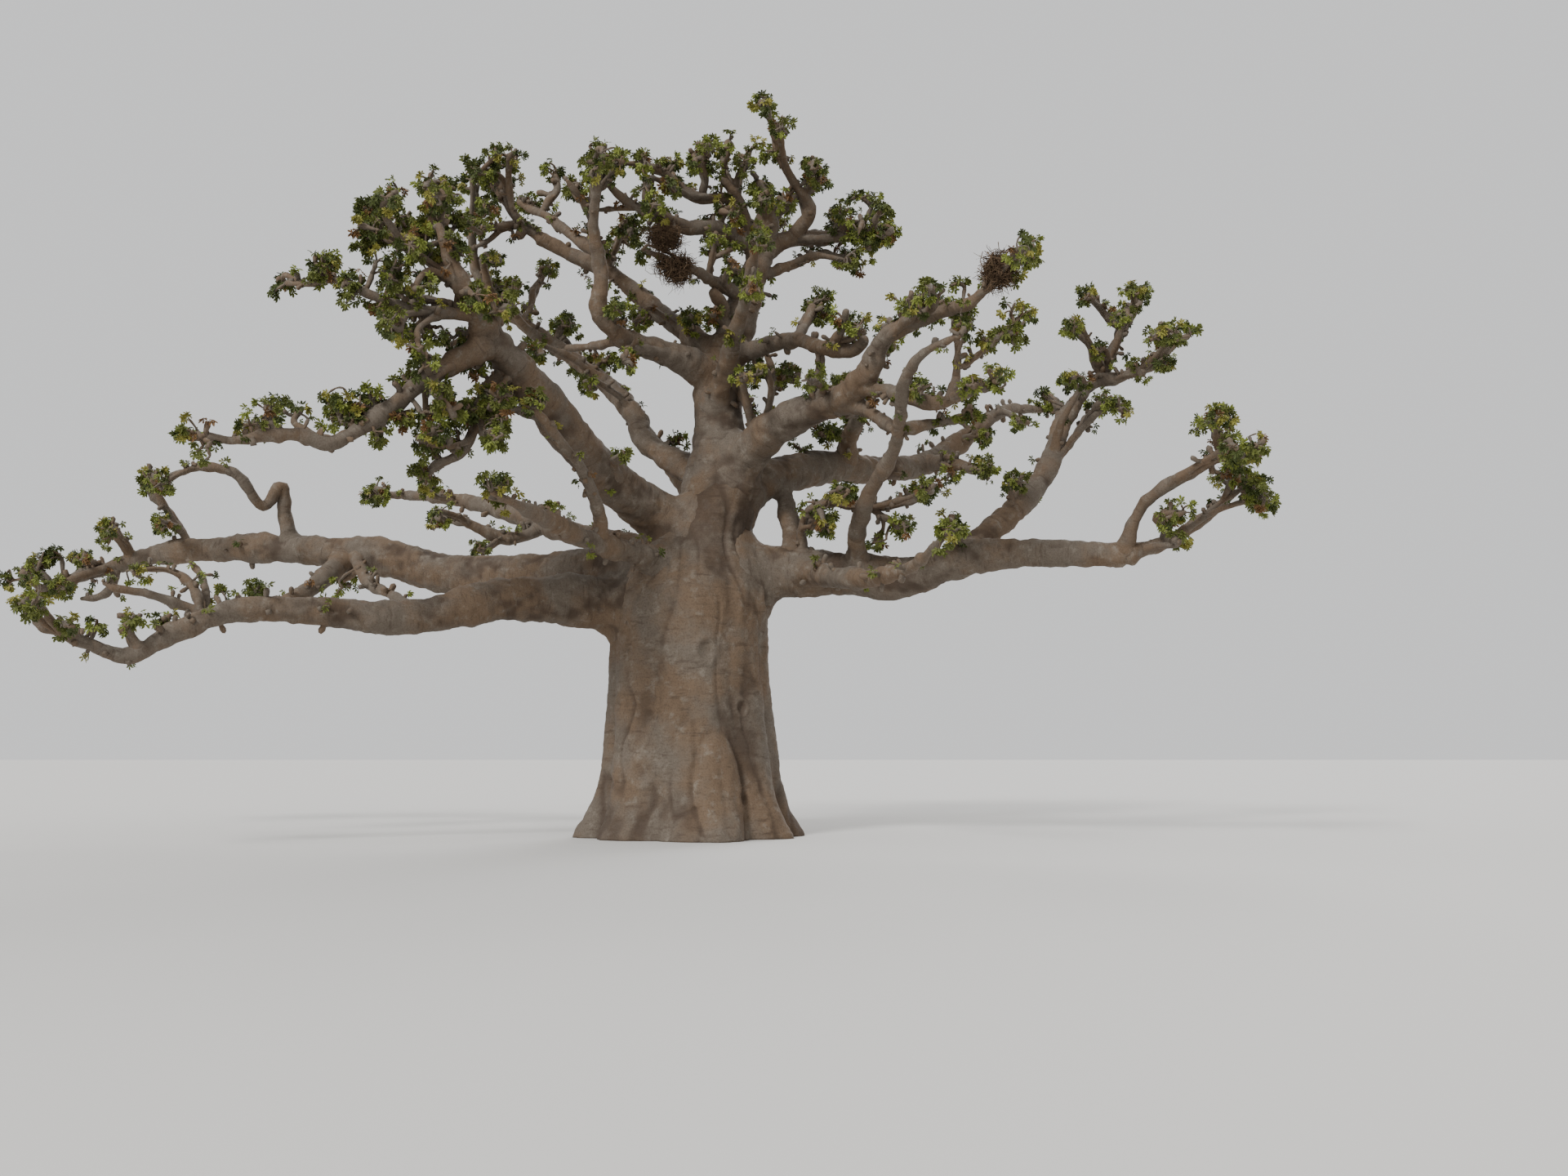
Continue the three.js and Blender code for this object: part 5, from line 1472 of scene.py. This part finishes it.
class Shader:
    """A material whose surface is one Principled shader."""

    def __init__(self, name, uniform):
        self.material = bpy.data.materials.new(name)
        self.material.use_nodes = True
        self.tree = self.material.node_tree
        self.surface = self.tree.nodes["Principled BSDF"]
        self.feed(uniform)

    def put(self, socket, value):
        """Links a value to a socket, or sets the socket's own number or colour."""
        if isinstance(value, Value):
            self.tree.links.new(value.socket, socket)
        else:
            socket.default_value = value

    def feed(self, inputs):
        """Puts values on the sockets of the Principled shader."""
        for key, value in inputs.items():
            self.put(self.surface.inputs[key], value)

    def node(self, kind, settings, inputs, output=0):
        """Adds a node: its settings first, then the values or links of its sockets."""
        made = self.tree.nodes.new(kind)
        for key, value in settings.items():
            setattr(made, key, value)
        for key, value in inputs.items():
            self.put(made.inputs[key], value)
        return Value(self, made.outputs[output])

    def noise(self, vector, scale, detail, roughness=0.6):
        """Noise from 0 to 1."""
        inputs = {"Vector": vector, "Scale": scale, "Detail": detail, "Roughness": roughness}
        return self.node("ShaderNodeTexNoise", {}, inputs)

    def step(self, value, low, high):
        """0 below low, 1 above high, and an eased rise between them."""
        inputs = {"Value": value, "From Min": low, "From Max": high}
        return self.node("ShaderNodeMapRange", {"interpolation_type": "SMOOTHSTEP"}, inputs)

    def mix(self, factor, first, second):
        """The first colour turned into the second by the factor."""
        return self.node("ShaderNodeMix", {"data_type": "RGBA"}, {0: factor, 6: first, 7: second}, 2)

    def stretched(self, vector, factors):
        """The vector times three factors."""
        return self.node("ShaderNodeVectorMath", {"operation": "MULTIPLY"}, {0: vector, 1: factors})

    def bump(self, height, strength, distance):
        """A normal from a height in parts of the distance."""
        return self.node("ShaderNodeBump", {}, {"Height": height, "Strength": strength, "Distance": distance})


def bark_material(name, settings, scale):
    """Smooth grey-brown bark: warm and pale patches, mottling, cross wrinkles and painted shade in its
    hollows.

    Every pattern is finer the greater the scale. Painted shade darkens the bark where wrinkles, hollows and
    grain are deep, and patches and mottling tint it.
    """
    shader = Shader(name, {"Specular IOR Level": 0.25})
    spot = shader.node("ShaderNodeTexCoord", {}, {}, "Object")
    along = shader.node("ShaderNodeAttribute", {"attribute_name": "along_bark"}, {}, "Vector")
    relief = shader.node("ShaderNodeAttribute", {"attribute_name": "relief"}, {}, "Fac")
    squeezed = shader.stretched(along, WRINKLE_SQUEEZE)
    patches = shader.noise(spot, scale=0.8 * scale, detail=4)
    mottle = shader.noise(spot, scale=4.5 * scale, detail=7, roughness=0.68)
    grain = shader.noise(spot, scale=34 * scale, detail=4)
    wrinkles = shader.noise(squeezed, scale=scale, detail=6, roughness=0.62)
    warm = shader.step(patches, low=0.4, high=0.62)
    pale = shader.step(mottle, low=0.5, high=0.72)
    raised = (
        shader.step(wrinkles, low=0.3, high=0.46),
        shader.step(relief, low=-0.9, high=0.05),
        shader.step(grain, low=0.35, high=0.55),
    )
    colour = shader.mix(warm, settings.bark_colour, settings.warm_colour)
    colour = shader.mix(PALE_SHARE * pale, colour, settings.pale_colour)
    # Painted shade: the bark darkens towards the shade colour where wrinkles, hollows and grain are deep.
    for share, mask in zip(PAINTED_SHADE_SHARES, raised):
        colour = shader.mix(share * (1 - mask), colour, settings.painted_shade_colour)
    wrinkle_share, mottle_share, grain_share = BUMP_SHARES
    height = wrinkle_share * wrinkles + mottle_share * mottle + grain_share * grain
    shader.feed({
        "Base Color": colour,
        "Roughness": 0.72 + 0.2 * mottle,
        "Normal": shader.bump(height, BUMP_STRENGTH, BUMP_DEPTH / scale),
    })
    return shader.material


def straw_material(name, settings):
    """Dry brown twigs, lighter and darker from straw to straw."""
    shader = Shader(name, {"Roughness": 0.9, "Specular IOR Level": 0.2})
    spot = shader.node("ShaderNodeTexCoord", {}, {}, "Object")
    patches = shader.step(shader.noise(spot, scale=9, detail=3), low=0.35, high=0.65)
    shader.feed({"Base Color": shader.mix(patches, settings.straw_colour, settings.straw_dark_colour)})
    return shader.material


def leaf_materials(settings):
    """One plain material for each leaf colour."""
    made = []
    for key in LEAF_COLOURS:
        colour = getattr(settings, f"{key}_leaf_colour")
        uniform = {"Base Color": colour, "Roughness": 0.62, "Specular IOR Level": 0.3}
        made.append(Shader(f"leaf_{key}", uniform).material)
    return made


def shared_bark(name):
    """The bark material of this name, made at its first use."""
    settings = bpy.context.scene.baobab_bark
    return bpy.data.materials.get(name) or bark_material(name, settings, BARK_SCALES[name])


# What a user would change


def length(name, description, default):
    """A length in metres."""
    return bpy.props.FloatProperty(
        name=name, description=description, default=default, min=0.0, unit="LENGTH", subtype="DISTANCE")


def share(name, description, default):
    """A share from 0 to 1."""
    return bpy.props.FloatProperty(
        name=name, description=description, default=default, min=0.0, max=1.0, subtype="FACTOR")


def rate(name, description, default):
    """A number of things for each metre or square metre, or a factor."""
    return bpy.props.FloatProperty(name=name, description=description, default=default, min=0.0)


def number(name, description, default):
    """A whole number of things."""
    return bpy.props.IntProperty(name=name, description=description, default=default, min=1)


def colour(name, description, red, green, blue):
    """A plain colour, opaque."""
    return bpy.props.FloatVectorProperty(
        name=name, description=description, default=(red, green, blue, 1), size=4, min=0, max=1,
        subtype="COLOR")


class BarkSettings(bpy.types.PropertyGroup):
    """Sizes and colours of the trunk, the limbs and their bark"""

    trunk_grid: length("Trunk grid", "Spacing of the trunk's grid", 0.033)
    limb_grid: length("Limb grid", "Spacing of the limbs' grids", 0.06)
    fillet: rate("Fillet", "Width of the flare at a limb's foot, in its radii", 0.9)
    burrs: rate("Burrs", "Round knobs for each metre of a limb", 5.0)
    bulges: rate("Bulges", "Broad swellings for each metre of a limb", 0.9)
    scars: number("Scars", "Scars of lost limbs on the trunk", 15)
    bark_colour: colour("Bark", "Grey-brown of the bark", 0.138, 0.113, 0.088)
    warm_colour: colour("Warm patches", "Warm brown patches of the bark", 0.152, 0.104, 0.067)
    pale_colour: colour("Pale patches", "Pale grey patches of the bark", 0.235, 0.206, 0.168)
    # Painted shade: the dark brown that the bark turns to in deep wrinkles, hollows and grain, where shade
    # falls.
    painted_shade_colour: colour("Hollows", "Dark brown in folds and hollows", 0.055, 0.036, 0.024)


class GrowthSettings(bpy.types.PropertyGroup):
    """Sizes and colours of the twigs, the leaves and the dry tangles"""

    tips: rate("Tips", "Twig tips for each square metre of a tuft as seen", 66.0)
    leaves: number("Leaves", "Leaves at each tip", 8)
    twig_radius: length("Twig radius", "Radius of the last twigs", 0.016)
    leaflet_length: length("Leaflet length", "Length of a leaf's middle leaflet", 0.087)
    leaflet_width: share("Leaflet width", "Width of a leaflet as a share of its length", 0.45)
    stalk_length: length("Stalk length", "Length of a leaf's stalk", 0.072)
    inner_sprays: share("Inner sprays", "Chance of leaves at a fork of twigs", 0.35)
    spurs: rate("Spurs", "Short knobby spurs for each metre of a thin limb", 4.5)
    leafy_spurs: share("Leafy spurs", "Chance of leaves on a spur", 0.38)
    straws: number("Straws", "Straws in each tangle", 900)
    straw_length: length("Straw length", "Mean length of a straw", 0.34)
    straw_radius: length("Straw radius", "Mean radius of a straw", 0.006)
    shade_leaf_colour: colour("Shade leaves", "Deep olive leaves", 0.062, 0.078, 0.018)
    olive_leaf_colour: colour("Olive leaves", "Olive leaves", 0.112, 0.128, 0.026)
    fresh_leaf_colour: colour("Fresh leaves", "Fresh green leaves", 0.175, 0.205, 0.036)
    yellow_leaf_colour: colour("Yellow leaves", "Yellow-green leaves", 0.24, 0.225, 0.045)
    brown_leaf_colour: colour("Brown leaves", "Dry brown leaves", 0.16, 0.085, 0.032)
    straw_colour: colour("Straw", "Brown of the dry twigs", 0.16, 0.105, 0.062)
    straw_dark_colour: colour("Dark straw", "Darker brown of the dry twigs", 0.07, 0.043, 0.026)


class StageSettings(bpy.types.PropertyGroup):
    """The floor, the backdrop and the lights"""

    floor_size: length("Floor size", "Length of the floor's side", 400.0)
    floor_colour: colour("Floor", "Pale colour of the floor", 0.62, 0.605, 0.58)
    sky_colour: colour("Backdrop", "Pale colour of the backdrop", 0.86, 0.865, 0.87)
    sky_strength: rate("Backdrop strength", "Brightness of the backdrop and its soft light", 1.0)
    key_strength: rate("Key light", "Strength of the soft main light", 2.4)
    rim_strength: rate("Rim light", "Strength of the soft light from behind", 1.6)


# The steps, one operator for each piece or group of like pieces


class BAOBAB_OT_trunk(bpy.types.Operator):
    """Make the trunk with its flutes, folds and scars"""

    bl_idname = "baobab.trunk"
    bl_label = "Trunk"

    def execute(self, context):
        points, faces, values = trunk_surface(context.scene.baobab_bark)
        bark = shared_bark("trunk_bark")
        make_piece("trunk_bark", points, faces, [bark], [TRUNK], values=values)
        return {"FINISHED"}


class BAOBAB_OT_limbs(bpy.types.Operator):
    """Make the main boughs and limbs, each flaring from its parent"""

    bl_idname = "baobab.limbs"
    bl_label = "Boughs and limbs"

    def execute(self, context):
        bark = shared_bark("limb_bark")
        for name in LIMBS:
            points, faces, values = limb_surface(name, context.scene.baobab_bark)
            make_piece(f"{name}_bark", points, faces, [bark], [name], values=values)
        return {"FINISHED"}


class BAOBAB_OT_side_limbs(bpy.types.Operator):
    """Make the lesser limbs, joined by region"""

    bl_idname = "baobab.side_limbs"
    bl_label = "Lesser limbs"

    def execute(self, context):
        bark = shared_bark("side_limb_bark")
        for region in REGIONS:
            parts = [
                limb_surface(name, context.scene.baobab_bark) for name, limb in limbs().items()
                if name not in (TRUNK, *LIMBS) and region_of(seen(limb.spine[-1])[0]) == region
            ]
            points, faces, values = joined(parts)
            make_piece(f"side_limbs_{region}", points, faces, [bark], values=values)
        return {"FINISHED"}


class BAOBAB_OT_twigs(bpy.types.Operator):
    """Grow the twigs and spurs, joined by region"""

    bl_idname = "baobab.twigs"
    bl_label = "Twigs"

    def execute(self, context):
        bark = shared_bark("twig_bark")
        for n, (region, growth) in enumerate(grown().items()):
            points, faces = twig_surface(seeded("twigs", n), growth)
            make_piece(f"twigs_{region}", points, faces, [bark])
        return {"FINISHED"}


class BAOBAB_OT_leaves(bpy.types.Operator):
    """Grow the leaves in sprays, joined by region, in place of the masses of foliage"""

    bl_idname = "baobab.leaves"
    bl_label = "Leaves"

    def execute(self, context):
        settings = context.scene.baobab_growth
        materials = leaf_materials(settings)
        masses = {region: [] for region in REGIONS}
        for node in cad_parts:
            if node.startswith("foliage"):
                middle = np.mean(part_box(node), axis=0)
                masses[region_of(seen(middle)[0])].append(node)
        for n, (region, growth) in enumerate(grown().items()):
            rows = np.array(growth.sprays)
            rows = np.repeat(rows, rows[:, 6].astype(int), axis=0)
            points, faces = leaf_surface(seeded("leaves", n), rows[:, :3], rows[:, 3:6], settings)
            dealt = np.repeat(rows[:, 7], faces.shape[1])
            make_piece(f"leaves_{region}", points, [faces.reshape(-1, 3)], materials,
                       masses[region], dealt=dealt, smooth=False)
        return {"FINISHED"}


class BAOBAB_OT_tangles(bpy.types.Operator):
    """Make the tangles of dry twigs"""

    bl_idname = "baobab.tangles"
    bl_label = "Dry tangles"

    def execute(self, context):
        settings = context.scene.baobab_growth
        random = seeded("tangles")
        parts = []
        for name, side, height, wide, high in TANGLES:
            back = limbs()[name].nearest_seen((side, height))[1]
            half = np.array([wide, (wide + high) / 2, high])
            parts.append((*tangle_surface(random, place(side, height, back), half, settings), {}))
        points, faces, _ = joined(parts)
        straw = straw_material("dry_straw", settings)
        make_piece("dry_tangles", points, faces, [straw], ["twig_tangle_left"])
        return {"FINISHED"}


def add_light(name, strength, spread, rise, turn):
    """A soft distant light, rise above the horizon and turned round the tree from the front."""
    light = bpy.data.lights.new(name, "SUN")
    light.energy = strength
    light.angle = math.radians(spread)
    lamp = bpy.data.objects.new(name, light)
    lamp.rotation_euler = (math.radians(90 - rise), 0, math.radians(turn))
    bpy.context.scene.collection.objects.link(lamp)


class BAOBAB_OT_stage(bpy.types.Operator):
    """Set the pale floor, the soft light and the camera in the photograph's place"""

    bl_idname = "baobab.stage"
    bl_label = "Stage"

    def execute(self, context):
        scene = context.scene
        settings = scene.baobab_stage
        half = settings.floor_size / 2
        corners = [(-half, -half, 0), (half, -half, 0), (half, half, 0), (-half, half, 0)]
        mesh = bpy.data.meshes.new("floor")
        mesh.from_pydata(corners, [], [(0, 1, 2, 3)])
        finish = Shader("floor", {"Base Color": settings.floor_colour, "Roughness": 0.9})
        mesh.materials.append(finish.material)
        floor = bpy.data.objects.new("floor", mesh)
        scene.collection.objects.link(floor)
        scene.world = bpy.data.worlds.new("backdrop")
        scene.world.use_nodes = True
        backdrop = scene.world.node_tree.nodes["Background"].inputs
        backdrop["Color"].default_value = settings.sky_colour
        backdrop["Strength"].default_value = settings.sky_strength
        add_light("key", settings.key_strength, *KEY_LIGHT)
        add_light("rim", settings.rim_strength, *RIM_LIGHT)
        camera = bpy.data.cameras.new("camera")
        camera.lens = CAMERA_LENS
        camera.sensor_width = CAMERA_SENSOR
        camera.clip_end = 2 * settings.floor_size
        eye = bpy.data.objects.new("camera", camera)
        eye.location = (EYE_SIDE, -EYE_DISTANCE, EYE_HEIGHT)
        eye.rotation_euler = (math.pi / 2 + CAMERA_RISE, 0, 0)
        scene.collection.objects.link(eye)
        scene.camera = eye
        return {"FINISHED"}


STEPS = (
    BAOBAB_OT_trunk, BAOBAB_OT_limbs, BAOBAB_OT_side_limbs, BAOBAB_OT_twigs, BAOBAB_OT_leaves,
    BAOBAB_OT_tangles, BAOBAB_OT_stage,
)
GROUPS = {"baobab_bark": BarkSettings, "baobab_growth": GrowthSettings, "baobab_stage": StageSettings}


class BAOBAB_PT_tree(bpy.types.Panel):
    """Lists the tree's sizes, colours and steps"""

    bl_label = "Baobab Tree"
    bl_idname = "BAOBAB_PT_tree"
    bl_space_type = "VIEW_3D"
    bl_region_type = "UI"
    bl_category = "Baobab"

    def draw(self, context):
        for step in STEPS:
            self.layout.operator(step.bl_idname)
        for key, group in GROUPS.items():
            column = self.layout.column()
            for field in group.__annotations__:
                column.prop(getattr(context.scene, key), field)


def register():
    for group in GROUPS.values():
        bpy.utils.register_class(group)
    for key, group in GROUPS.items():
        setattr(bpy.types.Scene, key, bpy.props.PointerProperty(type=group))
    for step in (*STEPS, BAOBAB_PT_tree):
        bpy.utils.register_class(step)


def unregister():
    for step in (BAOBAB_PT_tree, *reversed(STEPS)):
        bpy.utils.unregister_class(step)
    for key, group in GROUPS.items():
        delattr(bpy.types.Scene, key)
        bpy.utils.unregister_class(group)


def main():
    """Makes the whole tree and its stage."""
    register()
    for step in STEPS:
        getattr(bpy.ops.baobab, step.bl_idname.split(".")[1])()


if __name__ == "__main__":
    main()
